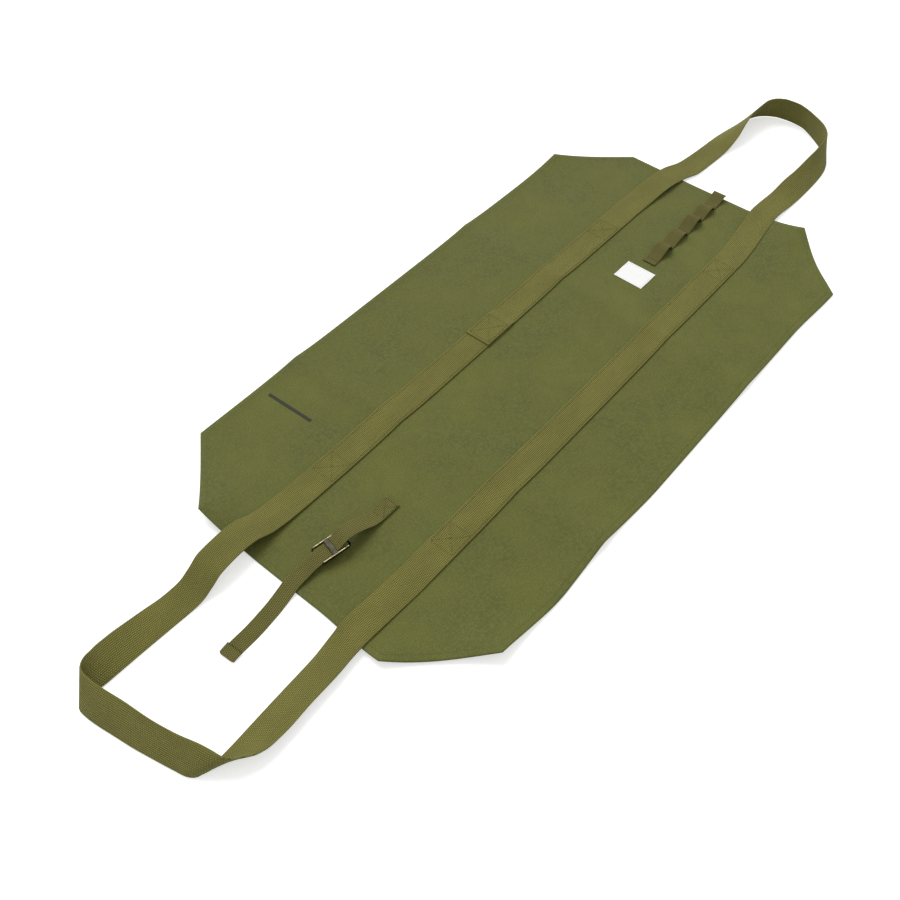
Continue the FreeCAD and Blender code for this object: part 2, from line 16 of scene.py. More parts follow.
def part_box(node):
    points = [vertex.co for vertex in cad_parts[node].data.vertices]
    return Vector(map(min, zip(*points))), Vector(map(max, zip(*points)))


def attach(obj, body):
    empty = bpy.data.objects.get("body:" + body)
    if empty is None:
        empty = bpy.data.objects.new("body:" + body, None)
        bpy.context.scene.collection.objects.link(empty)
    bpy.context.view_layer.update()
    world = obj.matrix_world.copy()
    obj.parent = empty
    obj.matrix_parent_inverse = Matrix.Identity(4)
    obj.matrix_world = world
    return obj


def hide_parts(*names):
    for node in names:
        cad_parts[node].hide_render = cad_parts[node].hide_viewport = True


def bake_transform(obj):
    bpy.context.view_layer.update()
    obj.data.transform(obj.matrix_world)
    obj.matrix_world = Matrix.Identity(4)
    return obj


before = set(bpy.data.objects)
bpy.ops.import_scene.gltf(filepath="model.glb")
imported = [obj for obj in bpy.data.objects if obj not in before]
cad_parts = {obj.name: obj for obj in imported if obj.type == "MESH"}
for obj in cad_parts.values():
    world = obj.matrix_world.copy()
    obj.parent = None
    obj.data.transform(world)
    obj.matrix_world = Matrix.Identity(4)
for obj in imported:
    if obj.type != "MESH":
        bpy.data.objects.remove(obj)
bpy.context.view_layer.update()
MM = 0.001

# %% Read the sizes that the soft pieces share
near_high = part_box("near_canvas_panel")[1]
far_low, far_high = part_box("far_canvas_panel")
middle_low, middle_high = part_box("middle_canvas_panel")
rail_low, rail_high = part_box("left_rail_near")
right_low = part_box("right_rail_near")[0]

HALF_LENGTH = far_high[0]
HALF_WIDTH = far_high[1]
CLOTH_TOP = far_high[2]
CLOTH_THICK = CLOTH_TOP / 2
RAIL_WIDTH = rail_high[1] - rail_low[1]
RAIL_THICK = rail_high[2] - rail_low[2]
RAIL_SHIFT = (rail_high[1] + right_low[1]) / 2
RAIL_REACH = (rail_low[1] + rail_high[1]) / 2 - RAIL_SHIFT
NEAR_FOLD = (near_high[0] + middle_low[0]) / 2
FAR_FOLD = (far_low[0] + middle_high[0]) / 2
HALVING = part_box("left_rail_lap")[0][0]
print(f"sheet {2 * HALF_LENGTH:.3f} x {2 * HALF_WIDTH:.3f} m, rails {RAIL_WIDTH * 1000:.0f} mm wide")

# %% [markdown]
# ## Small tools
# Most of the carrier is thin and soft, so nearly every piece is a grid of points: rows along its
# length and columns across it. One function turns such a grid into a mesh, and writes how far along
# and across each point lies in metres. The weaves are drawn from that map, so that a weave stays
# straight on its webbing however the webbing twists.

# %% Turn a closed tube of rows into a mesh
WEAVE_MAP = "Weave"


def new_piece(name, vertices, faces, weave_of_vertex, material):
    """An object with a mesh, its weave map and its material."""
    mesh = bpy.data.meshes.new(name)
    mesh.from_pydata([tuple(point) for point in vertices], [], faces)
    layer = mesh.uv_layers.new(name=WEAVE_MAP)
    corners = np.empty(len(mesh.loops), dtype=np.int32)
    mesh.loops.foreach_get("vertex_index", corners)
    layer.uv.foreach_set("vector", np.asarray(weave_of_vertex, np.float32)[corners].ravel())
    mesh.polygons.foreach_set("use_smooth", [True] * len(mesh.polygons))
    mesh.materials.append(material)
    mesh.validate()
    piece = bpy.data.objects.new(name, mesh)
    bpy.context.collection.objects.link(piece)
    return piece


def tube_faces(rows, columns):
    """Faces of a closed tube of rows, with a lid at each end."""
    faces = []
    for row in range(rows - 1):
        here, after = row * columns, (row + 1) * columns
        for column in range(columns):
            beside = (column + 1) % columns
            faces.append((here + column, here + beside, after + beside, after + column))
    last = (rows - 1) * columns
    faces.append(tuple(range(columns - 1, -1, -1)))
    faces.append(tuple(last + column for column in range(columns)))
    return faces


def glide(places, values, where):
    """Smooth values between stations, with no overshoot (a monotone cubic)."""
    places, values = np.asarray(places, float), np.asarray(values, float)
    step = np.diff(places)[:, None]
    rise = np.diff(values, axis=0) / step
    slope = np.zeros_like(values)
    both = rise[:-1] * rise[1:]
    mean = np.where(both > 0, 2 * both / np.where(both > 0, rise[:-1] + rise[1:], 1), 0)
    slope[1:-1] = mean
    slope[0], slope[-1] = rise[0], rise[-1]
    at = np.clip(np.searchsorted(places, where, side="right") - 1, 0, len(places) - 2)
    width = np.diff(places)[at][:, None]
    t = ((where - places[at])[:, None]) / width
    return ((2 * t**3 - 3 * t**2 + 1) * values[at] + (t**3 - 2 * t**2 + t) * width * slope[at]
            + (3 * t**2 - 2 * t**3) * values[at + 1] + (t**3 - t**2) * width * slope[at + 1])


print("tools ready")

# %% [markdown]
# ## Finishes
# Canvas, three webbings, threads, a label, ink and a metal. Each is a node material. The webbings
# share one recipe: crowns of yarn in staggered columns, as on heavy woven tape, drawn from the weave
# map, painted as lit, with painted shade in the gaps between them, a little painted shade along the
# selvedges and a smooth turned edge. The canvas weave is too fine to draw thread by thread, so crossed
# stripes and noise give its grain.

# %% A little shorthand for node graphs
def srgb(red, green, blue):
    """A colour written as on a colour chart, made linear for the shader."""
    channels = [value / 255 for value in (red, green, blue)]
    return [c / 12.92 if c <= 0.04045 else ((c + 0.055) / 1.055) ** 2.4 for c in channels] + [1.0]


class Graph:
    """One material's nodes, added and wired by short calls."""

    def __init__(self, name):
        self.material = bpy.data.materials.new(name)
        self.material.use_nodes = True
        self.nodes = self.material.node_tree.nodes
        self.links = self.material.node_tree.links
        self.shader = self.nodes["Principled BSDF"]

    def put(self, target, value):
        """Wires a socket, or sets its value."""
        if isinstance(value, bpy.types.NodeSocket):
            self.links.new(value, target)
        else:
            target.default_value = value

    def math(self, operation, *values):
        node = self.nodes.new("ShaderNodeMath")
        node.operation = operation
        for socket, value in zip(node.inputs, values):
            self.put(socket, value)
        return node.outputs[0]

    def ramp(self, value, low, high, to_low=0.0, to_high=1.0):
        node = self.nodes.new("ShaderNodeMapRange")
        node.interpolation_type = "SMOOTHSTEP"
        for socket, amount in zip(node.inputs, (value, low, high, to_low, to_high)):
            self.put(socket, amount)
        return node.outputs[0]

    def mix(self, factor, first, second):
        node = self.nodes.new("ShaderNodeMix")
        node.data_type = "RGBA"
        for key, value in (("Factor_Float", factor), ("A_Color", first), ("B_Color", second)):
            self.put(next(s for s in node.inputs if s.identifier == key), value)
        return next(s for s in node.outputs if s.identifier == "Result_Color")

    def noise(self, where, scale, detail=2.0, rough=0.5, stretch=(1, 1, 1)):
        mapping = self.nodes.new("ShaderNodeMapping")
        mapping.inputs["Scale"].default_value = stretch
        self.put(mapping.inputs["Vector"], where)
        node = self.nodes.new("ShaderNodeTexNoise")
        self.put(node.inputs["Vector"], mapping.outputs[0])
        node.inputs["Scale"].default_value = scale
        node.inputs["Detail"].default_value = detail
        node.inputs["Roughness"].default_value = rough
        return node.outputs["Fac"]

    def weave_place(self):
        node = self.nodes.new("ShaderNodeUVMap")
        node.uv_map = WEAVE_MAP
        split = self.nodes.new("ShaderNodeSeparateXYZ")
        self.put(split.inputs[0], node.outputs[0])
        return node.outputs[0], split.outputs[0], split.outputs[1]

    def look(self, colour, roughness, specular=None, sheen=None):
        """Sets the colour, how rough it is, how much it shines, and its sheen's weight and width."""
        self.put(self.shader.inputs["Base Color"], colour)
        self.put(self.shader.inputs["Roughness"], roughness)
        if specular is not None:
            self.shader.inputs["Specular IOR Level"].default_value = specular
        if sheen is not None:
            self.shader.inputs["Sheen Weight"].default_value = sheen[0]
            self.shader.inputs["Sheen Roughness"].default_value = sheen[1]

    def bump(self, height, distance, strength):
        node = self.nodes.new("ShaderNodeBump")
        node.inputs["Distance"].default_value = distance
        node.inputs["Strength"].default_value = strength
        self.put(node.inputs["Height"], height)
        self.put(self.shader.inputs["Normal"], node.outputs[0])


print("graph shorthand ready")


# %% Canvas: fine plain weave, waxed, slightly mottled
def canvas_material(name, colour, dark, light):
    graph = Graph(name)
    place, along, across = graph.weave_place()
    warp = graph.math("ABSOLUTE", graph.math("SINE", graph.math("MULTIPLY", along, math.pi / 0.0009)))
    weft = graph.math("ABSOLUTE", graph.math("SINE", graph.math("MULTIPLY", across, math.pi / 0.0011)))
    slub_along = graph.noise(place, 420, 2.0, 0.6, (0.35, 1, 1))
    slub_across = graph.noise(place, 420, 2.0, 0.6, (1, 0.35, 1))
    grain = graph.noise(place, 900, 2.0, 0.7)
    wax = graph.noise(place, 9, 4.0, 0.62)
    blotch = graph.noise(place, 45, 3.0, 0.6)
    yarn = graph.math("MULTIPLY", warp, weft)
    slubs = graph.math("ADD", slub_along, slub_across)
    body = graph.mix(graph.ramp(wax, 0.36, 0.66), dark, light)
    body = graph.mix(graph.ramp(blotch, 0.42, 0.60, 0.0, 0.6), body, colour)
    body = graph.mix(graph.ramp(slubs, 0.85, 1.20, 0.0, 0.65), body, light)
    body = graph.mix(graph.ramp(grain, 0.35, 0.62, 1.0, 0.0), body, dark)
    graph.look(body, graph.ramp(wax, 0.3, 0.7, 0.66, 0.84), 0.22, (0.04, 0.5))
    height = graph.math("ADD", graph.math("MULTIPLY", yarn, 0.5), graph.math("MULTIPLY", slubs, 0.7))
    graph.bump(graph.math("ADD", height, grain), 0.00035, 0.55)
    return graph.material


CANVAS = canvas_material("waxed_canvas", srgb(104, 107, 50), srgb(86, 90, 38), srgb(118, 120, 62))


# %% Webbing: staggered crowns of yarn, painted as lit, with painted shade in the gaps
def webbing_material(name, lit_crown_colour, gap_shade_colour, width, columns, crown, relief):
    graph = Graph(name)
    place, along, across = graph.weave_place()
    column = graph.math("DIVIDE", across, width / columns)
    odd = graph.math("MODULO", graph.math("ADD", graph.math("FLOOR", column), 1000.0), 2.0)
    steps = graph.math("ADD", graph.math("DIVIDE", along, crown), graph.math("MULTIPLY", odd, 0.5))

    def hill(value):
        saw = graph.math("SUBTRACT", graph.math("MULTIPLY", graph.math("FRACT", value), 2.0), 1.0)
        return graph.math("SUBTRACT", 1.0, graph.math("POWER", graph.math("ABSOLUTE", saw), 2.4))

    crossing = graph.math("MULTIPLY_ADD", hill(graph.math("ADD", steps, 1000.0)), 0.8, 0.2)
    yarn = graph.math("MULTIPLY", hill(column), crossing)
    fluff = graph.noise(place, 1100, 2.0, 0.7)
    tint = graph.noise(place, 26, 3.0, 0.6, (0.5, 1, 1))
    lit = graph.ramp(graph.math("ADD", yarn, graph.math("MULTIPLY", fluff, 0.5)), 0.15, 1.0)
    from_middle = graph.math("ABSOLUTE", graph.math("SUBTRACT", across, width / 2))
    turned = graph.ramp(from_middle, width / 2 - 0.5 * MM, width / 2 - 0.2 * MM, 0.0, 0.85)
    # Painted shade: the gaps between the yarn crowns are drawn dark and the crowns are drawn as lit.
    body = graph.mix(graph.math("MAXIMUM", lit, turned), gap_shade_colour, lit_crown_colour)
    body = graph.mix(graph.ramp(tint, 0.35, 0.65, 0.0, 0.15), body, gap_shade_colour)
    # Painted shade along both selvedges, where the webbing's edge falls in shadow.
    edge_shade = graph.ramp(from_middle, width / 2 - 1.4 * MM, width / 2 - 0.7 * MM, 0.0, 0.15)
    body = graph.mix(edge_shade, body, gap_shade_colour)
    graph.look(body, 0.78, 0.2, (0.05, 0.45))
    graph.bump(graph.math("ADD", yarn, graph.math("MULTIPLY", fluff, 0.25)), relief, 0.8)
    return graph.material


WEBBING = webbing_material("rail_webbing", srgb(142, 138, 69), srgb(44, 43, 18),
                           RAIL_WIDTH, 18, 2.2 * MM, 0.9 * MM)
STRAP_WEBBING = webbing_material("strap_webbing", srgb(126, 122, 63), srgb(28, 27, 11),
                                 20 * MM, 9, 2.4 * MM, 0.8 * MM)
GEAR_WEBBING = webbing_material("gear_webbing", srgb(116, 111, 56), srgb(44, 43, 19),
                                20 * MM, 11, 1.9 * MM, 0.5 * MM)


# %% Thread, label and ink
def plain_cloth_material(name, colour, dark, scale, relief):
    graph = Graph(name)
    fibre = graph.noise(graph.weave_place()[0], scale, 3.0, 0.65)
    graph.look(graph.mix(graph.ramp(fibre, 0.35, 0.65), dark, colour), 0.7, 0.3)
    graph.bump(fibre, relief, 0.6)
    return graph.material


THREAD = plain_cloth_material("olive_thread", srgb(112, 107, 52), srgb(86, 82, 38), 1500, 0.0001)
# Dark thread: the strap's own dark stitching, and also a painted shadow line at the step of the turned tip.
DARK_THREAD_AND_STEP_SHADE = plain_cloth_material("dark_thread_and_step_shade", srgb(58, 56, 26), srgb(42, 41, 18), 1500, 0.0001)
HEM_THREAD = plain_cloth_material("canvas_thread", srgb(100, 103, 48), srgb(90, 93, 42), 1500, 0.0001)
LABEL = plain_cloth_material("white_label", srgb(255, 255, 254), srgb(250, 250, 247), 1200, 0.0001)
LABEL_THREAD = plain_cloth_material("white_thread", srgb(232, 231, 224), srgb(204, 203, 194),
                                    1500, 0.0001)
INK = plain_cloth_material("dark_ink", srgb(48, 50, 34), srgb(38, 40, 26), 700, 0.0001)


# %% Antique brass: nearly black, with rubbed wear and a painted highlight along the top of its rails
RAIL_TOP = 4.2 * MM


def brass_material(name):
    graph = Graph(name)
    place, _, height = graph.weave_place()
    tarnish = graph.noise(place, 260, 4.0, 0.65)
    brushed = graph.noise(place, 900, 2.0, 0.6, (0.08, 1, 1))
    # Rubbed wear and a painted highlight: the top of each rail is drawn light.
    rubbed_and_highlight = graph.ramp(height, RAIL_TOP - 0.45 * MM, RAIL_TOP - 0.1 * MM)
    body = graph.mix(graph.ramp(tarnish, 0.35, 0.70), srgb(36, 35, 29), srgb(66, 63, 52))
    body = graph.mix(graph.math("MULTIPLY", rubbed_and_highlight, graph.ramp(tarnish, 0.35, 0.6, 0.25, 1.0)), body,
                     srgb(176, 163, 128))
    graph.shader.inputs["Metallic"].default_value = 1.0
    graph.look(body, graph.ramp(tarnish, 0.3, 0.7, 0.24, 0.42))
    graph.bump(graph.math("ADD", tarnish, brushed), 0.00004, 0.3)
    return graph.material


BRASS = brass_material("antique_brass")
print("finishes:", ", ".join(material.name for material in bpy.data.materials))

# %% [markdown]
# ## How the cloth lies
# The sheet has been folded in three, so two low creases cross it, and its corners, stiffened by the
# hem, stand up a little. One function gives this lift anywhere on the sheet. The cloth, the rails,
# the stitches, the label and the gear strap all read it, so that what is sewn on follows the cloth.

# %% Lift of the sheet above its flat height
CORNER_X, CORNER_Y = 367 * MM, 143.5 * MM
CURLS = [(CORNER_X, HALF_WIDTH, 7 * MM, 105 * MM), (HALF_LENGTH, -CORNER_Y, 11 * MM, 75 * MM),
         (-CORNER_X, -HALF_WIDTH, 14 * MM, 120 * MM), (-HALF_LENGTH, -CORNER_Y, 7 * MM, 80 * MM),
         (-HALF_LENGTH, CORNER_Y, 16 * MM, 105 * MM)]
CREASE_RISE, CREASE_REACH, CREASE_TIP = 4.0 * MM, 26 * MM, 3.0 * MM
NEAR_SKEW, NEAR_SET_BACK, FAR_SKEW = 0.041, 4 * MM, 0.015
NEAR_HOOK, NEAR_HOOK_FROM = 0.027, 100 * MM
BASE_LIFT = 0.9 * MM
HEM_WIDTH, HEM_STITCH_INSET = 10 * MM, 8 * MM
HEM_DIP = 0.45 * MM


def edge_distance(x, y):
    """How far inside the sheet's outline a point lies."""
    slant_x, slant_y = HALF_LENGTH - CORNER_X, HALF_WIDTH - CORNER_Y
    slant = (slant_x * (HALF_WIDTH - abs(y)) + slant_y * (HALF_LENGTH - abs(x)) - slant_x * slant_y)
    straight = np.minimum(HALF_LENGTH - abs(x), HALF_WIDTH - abs(y))
    return np.minimum(straight, slant / math.hypot(slant_x, slant_y))


def near_crease_at(y):
    """The near crease runs askew, and hooks back near one side."""
    hook = NEAR_HOOK * np.maximum(0, -y - NEAR_HOOK_FROM)
    return NEAR_FOLD - NEAR_SKEW * y - NEAR_SET_BACK + hook


def far_crease_at(y):
    return FAR_FOLD + FAR_SKEW * y


# Where, how high and how wide the sheet curls: at the near crease's end, and down under the strap.
CURLS.append((near_crease_at(-HALF_WIDTH), -HALF_WIDTH, 3.5 * MM, 60 * MM))
CURLS.append((-HALF_LENGTH, 0.0, -0.8 * MM, 150 * MM))
# Where the sheet is drawn out of its straight outline, how far along and aside, and how wide.
PULLS = [(-HALF_LENGTH, -CORNER_Y, -5 * MM, 5 * MM, 100 * MM),
         (-CORNER_X, -HALF_WIDTH, 0.0, 6 * MM, 110 * MM),
         (near_crease_at(-HALF_WIDTH), -HALF_WIDTH, 0.0, 4 * MM, 110 * MM),
         (HALF_LENGTH, -CORNER_Y, 5 * MM, -6 * MM, 90 * MM),
         (CORNER_X, -HALF_WIDTH, -1 * MM, -5 * MM, 110 * MM)]


def pull_corners(piece):
    """Draw a piece of the sheet out, or in, to where its hand-cut corners lie."""
    spots = np.empty(3 * len(piece.data.vertices))
    piece.data.vertices.foreach_get("co", spots)
    spots = spots.reshape(-1, 3)
    moved = spots.copy()
    for corner_x, corner_y, out_x, out_y, reach in PULLS:
        near = np.clip(1 - np.hypot(spots[:, 0] - corner_x, spots[:, 1] - corner_y) / reach, 0, 1)
        near = near * near * (3 - 2 * near)
        moved[:, 0] += out_x * near
        moved[:, 1] += out_y * near
    piece.data.vertices.foreach_set("co", moved.ravel())
    piece.data.update()
    return piece


def lift(x, y):
    """Height that creases, curls, hem and soft waves add to the flat sheet."""
    x, y = np.asarray(x, float), np.asarray(y, float)
    total = 0.5 * MM * np.sin(9.0 * x + 4.0 * y) + 0.4 * MM * np.sin(23.0 * y - 8.0 * x + 1.0)
    for crease in (near_crease_at, far_crease_at):
        away = np.sqrt((x - crease(y)) ** 2 + CREASE_TIP ** 2)
        total = total + CREASE_RISE * np.exp(-away / CREASE_REACH)
    for corner_x, corner_y, rise, reach in CURLS:
        near = np.clip(1 - np.hypot(x - corner_x, y - corner_y) / reach, 0, 1)
        total = total + rise * near ** 2.5
    inside = np.clip((edge_distance(x, y) - HEM_STITCH_INSET) / (2 * HEM_WIDTH), 0, 1)
    return total - HEM_DIP * inside + BASE_LIFT


def cloth_top(x, y):
    return CLOTH_TOP + lift(x, y)


print(f"lift at the curled corner {lift(-HALF_LENGTH, CORNER_Y) * 1000:.1f} mm")


# %% [markdown]
# ## The canvas
# The real sheet is one piece of waxed cloth with a narrow hem turned under. Here it is two halves
# that meet in the plain stretch between the creases, because each half bends at one crease when the
# carrier folds. Rows and columns follow the outline, so the slanted corners are clean, and they lie
# close together near the edge, where the hem rounds over and its stitching pulls a slight groove.

# %% Make a half sheet
EDGE_STEPS = [0.0, 0.35, 1.0, 2.2, 4.5, 6.6, 7.6, 8.4, 9.4, 11.5, 15.0]
INSIDE_STEP = 6 * MM
FOLD_DEPTH, FOLD_WIDTH = 1.1 * MM, 1.2 * MM
GROOVE_DEPTH, GROOVE_WIDTH = 0.22 * MM, 0.9 * MM
STEP_DEPTH, STEP_WIDTH, UNDER_STEP = 0.30 * MM, 2 * MM, 0.6 * MM


def edge_profile(inside):
    """Drop of the top near the edge: a rounded fold, then the groove that the stitching pulls."""
    fold = FOLD_DEPTH * np.clip(1 - inside / FOLD_WIDTH, 0, 1) ** 2
    groove = GROOVE_DEPTH * np.exp(-((inside - HEM_STITCH_INSET) / GROOVE_WIDTH) ** 2)
    step_down = STEP_DEPTH * np.clip((inside - HEM_WIDTH) / STEP_WIDTH, 0, 1)
    return fold + groove + step_down


def half_width_at(x):
    slope = (HALF_WIDTH - CORNER_Y) / (HALF_LENGTH - CORNER_X)
    return HALF_WIDTH - slope * np.maximum(0, abs(x) - CORNER_X)


def canvas_half(name, end, cut):
    """Half the sheet, from its end to the cut between the halves."""
    toward = math.copysign(1, cut - end)
    fine = np.array(EDGE_STEPS) * MM
    plain = abs(cut - end) - fine[-1]
    rows = np.concatenate([fine, fine[-1] + np.linspace(0, plain, round(plain / INSIDE_STEP) + 1)[1:]])
    corner = HALF_LENGTH - CORNER_X
    rows[np.argmin(abs(rows - corner))] = corner
    x = end + toward * rows
    half = half_width_at(x)
    slanted = math.hypot(corner, HALF_WIDTH - CORNER_Y) / corner
    stretch = np.where(abs(x) > CORNER_X + 1e-6, slanted, 1.0)
    count = round(2 * (HALF_WIDTH - fine[-1]) / INSIDE_STEP)
    share = np.linspace(-1, 1, count + 1)[1:-1]
    grid_x, grid_y = [], []
    for at, reach, wider in zip(x, half, stretch):
        inner = reach - fine[-1] * wider
        y = np.concatenate([-(reach - fine * wider), inner * share, (reach - fine * wider)[::-1]])
        grid_x.append(np.full(len(y), at))
        grid_y.append(y)
    grid_x, grid_y = np.array(grid_x), np.array(grid_y)
    inside = edge_distance(grid_x, grid_y)
    top = cloth_top(grid_x, grid_y) - edge_profile(inside)
    hem = np.clip((HEM_WIDTH + UNDER_STEP - inside) / UNDER_STEP, 0, 1)
    rounding = 0.5 * CLOTH_THICK * np.clip(1 - inside / FOLD_WIDTH, 0, 1) ** 2
    under = cloth_top(grid_x, grid_y) - CLOTH_THICK * (1 + hem) + rounding
    across = grid_x.shape[1]
    ring_x = np.concatenate([grid_x, grid_x[:, ::-1]], axis=1)
    ring_y = np.concatenate([grid_y, grid_y[:, ::-1]], axis=1)
    ring_z = np.concatenate([top, under[:, ::-1]], axis=1)
    points = np.stack([ring_x, ring_y, ring_z], axis=-1).reshape(-1, 3)
    faces = []
    around = 2 * across
    for row in range(len(x) - 1):
        for column in range(around):
            a, b = row * around + column, row * around + (column + 1) % around
            faces.append((a, b, b + around, a + around))
    for row in (0, len(x) - 1):
        base = row * around
        faces += [(base + c, base + around - 1 - c, base + around - 2 - c, base + c + 1)
                  for c in range(across - 1)]
    return new_piece(name, points, faces, points[:, :2], CANVAS)


def finish_shape(piece, turn_sharp=60):
    """Faces outward, and edges that turn sharply shaded as edges."""
    work = bmesh.new()
    work.from_mesh(piece.data)
    bmesh.ops.recalc_face_normals(work, faces=work.faces)
    work.to_mesh(piece.data)
    work.free()
    piece.data.set_sharp_from_angle(angle=math.radians(turn_sharp))
    return piece


near_canvas = pull_corners(finish_shape(canvas_half("canvas_near_half", -HALF_LENGTH, HALVING)))
far_canvas = pull_corners(finish_shape(canvas_half("canvas_far_half", HALF_LENGTH, HALVING)))
print(f"canvas: {len(near_canvas.data.vertices) + len(far_canvas.data.vertices)} points")

# %% [markdown]
# ## Webbing
# A strip of webbing is swept between two edge lines, its inner and its outer edge. Giving both edges
# rather than a centre line and a twist makes it easy to lay a strip flat here and stand it on edge
# there, as the carrying loops do. The section is flat with rounded selvedges.

# %% Sweep a flat strip between two edges
ROUND_STEPS = [(0.35, 0.92), (0.75, 0.62), (1.0, 0.0), (0.75, -0.62), (0.35, -0.92)]


def strip_between(name, inner, outer, thick, material, start=0.0, belly=None, columns=9):
    """A closed strip whose rows run from inner to outer; belly bows its face upward."""
    inner, outer = np.asarray(inner, float), np.asarray(outer, float)
    middle = (inner + outer) / 2
    width = np.linalg.norm(outer - inner, axis=1)[:, None]
    across = (outer - inner) / width
    ahead = np.gradient(middle, axis=0)
    up = np.cross(ahead, across)
    up /= np.linalg.norm(up, axis=1)[:, None]
    if up[0, 2] < 0:
        up = -up
    bow = np.zeros(len(middle)) if belly is None else np.asarray(belly)
    edge = thick / 2
    shares = np.linspace(0, 1, columns)
    rows = []
    for full in width[:, 0]:
        flat = full - 2 * edge
        section = [(edge + share * flat, edge) for share in shares]
        section += [(full - edge + edge * out, edge * high) for out, high in ROUND_STEPS]
        section += [(edge + share * flat, -edge) for share in shares[::-1]]
        section += [(edge - edge * out, -edge * high) for out, high in ROUND_STEPS]
        rows.append(section)
    section = np.array(rows)
    share = section[:, :, 0] / width
    height = section[:, :, 1] + bow[:, None] * (1 - (2 * share - 1) ** 2)
    points = (inner[:, None, :] + across[:, None, :] * section[:, :, :1]
              + up[:, None, :] * height[:, :, None])
    run = np.linalg.norm(np.diff(middle, axis=0), axis=1)
    along = start + np.concatenate([[0], np.cumsum(run)])
    weave = np.stack([np.repeat(along[:, None], section.shape[1], 1), section[:, :, 0]], axis=-1)
    piece = new_piece(name, points.reshape(-1, 3), tube_faces(len(middle), section.shape[1]),
                      weave.reshape(-1, 2), material)
    return finish_shape(piece)


def lying_edges(x, sides, height):
    """Edges of a strip that runs along the sheet, one at each side, at the height that a rule gives."""
    return [np.stack([x, np.full(len(x), y), height(x, y)], axis=-1) for y in sides]


print("strips ready")

# %% Rails sewn on the sheet, each in two lengths that meet between the creases
LOOP_START, RAIL_STEP = 300 * MM, 4 * MM
LAP_LENGTH, LAP_RAMP = 50 * MM, 9 * MM


def rail_edges(side, from_x, to_x, raise_over_lap=False):
    """The two edges of a rail from one place to another, lying on the cloth."""
    def height(x, y):
        past = np.clip((x - HALVING - LAP_LENGTH) / LAP_RAMP, 0, 1) if raise_over_lap else 1
        return cloth_top(x, y) + RAIL_THICK / 2 + RAIL_THICK * (1 - past ** 2 * (3 - 2 * past))

    x = np.linspace(from_x, to_x, round(abs(to_x - from_x) / RAIL_STEP) + 1)
    reaches = (RAIL_REACH - RAIL_WIDTH / 2, RAIL_REACH + RAIL_WIDTH / 2)
    return lying_edges(x, [RAIL_SHIFT + side * reach for reach in reaches], height)


LEFT, RIGHT = 1, -1
left_near = strip_between("left_rail_near_length", *rail_edges(LEFT, -LOOP_START, HALVING + LAP_LENGTH),
                          RAIL_THICK, WEBBING, start=-LOOP_START)
left_far = strip_between("left_rail_far_length", *rail_edges(LEFT, HALVING, LOOP_START, True),
                         RAIL_THICK, WEBBING, start=HALVING)
right_near = strip_between("right_rail_near_length", *rail_edges(RIGHT, -LOOP_START, HALVING),
                           RAIL_THICK, WEBBING, start=-LOOP_START)
right_far = strip_between("right_rail_far_length", *rail_edges(RIGHT, HALVING, LOOP_START),
                          RAIL_THICK, WEBBING, start=HALVING)
print(f"rails: {RAIL_WIDTH * 1000:.0f} mm webbing, lap of {LAP_LENGTH * 1000:.0f} mm on the left one")

# %% [markdown]
# ## Carrying loops
# Past each end of the sheet the webbing runs on as a handle. It leaves the sheet flat, turns onto
# its edge where it bends round, and lies down again on its way back. The near loop is folded sharply
# at its two outer corners; the far loop bends in one round sweep. Stations give both edges,
# and a smooth curve between them gives the rows.

# %% Stations of the near loop: x, y, z of the inner edge, then of the outer one, in millimetres
NEAR_STATIONS = [
    (-300, 68.5, 3.3, -300, 106.5, 3.3), (-335, 68.7, 3.4, -335, 106.7, 3.4),
    (-375, 69, 4.2, -375, 107, 4.4), (-410, 69.5, 8, -410, 107.5, 8.5),
    (-440, 71, 18, -440, 109, 19), (-465, 70, 20.5, -465, 108, 21.5),
    (-490, 68.5, 18.5, -490, 107, 20), (-508, 67, 10.5, -508, 105, 12),
    (-524, 66.5, 3.5, -524, 104.5, 4.5), (-545, 67.5, 1, -545, 105.5, 2),
    (-575, 68.5, 1, -575, 106, 7), (-605, 69.5, 1, -605, 106.5, 12),
    (-630, 70, 1, -630, 104.5, 17.5), (-650, 70.5, 1, -641, 101, 22),
    (-668, 72.5, 1, -649, 98.5, 25), (-678, 73.5, 1, -655, 95, 26.5), (-684, 71, 1, -659.5, 90, 27),
    (-686.5, 64.5, 1, -661.5, 82.5, 27), (-686.3, 55, 1, -661.5, 71.5, 27),
    (-684.5, 40, 1, -659, 54, 27), (-681, 20, 1, -654.5, 28, 27), (-677, -3, 1, -650, -5, 26.5),
    (-671, -30, 1, -643, -37, 26), (-665.5, -53, 1, -635, -63, 26), (-662, -66, 1, -632, -77, 26.5),
    (-655, -74.5, 1, -630, -87.5, 26), (-642, -76.5, 1, -626, -95, 24),
    (-628, -77, 1, -617, -102, 21), (-608, -76.5, 1, -603, -109.5, 17),
    (-590, -75.5, 1, -588, -112, 14.5), (-570, -74.5, 1, -569, -112, 13),
    (-535, -73, 1, -535, -110, 12.5), (-495, -71.5, 1.5, -495, -108.5, 11),
    (-465, -68.5, 3.5, -465, -106, 9.5), (-440, -66.5, 6.5, -440, -105, 7.5),
    (-400, -67.5, 4.5, -400, -105.5, 4.7), (-360, -68.7, 3.5, -360, -106.7, 3.5),
    (-300, -68.5, 3.3, -300, -106.5, 3.3),
]

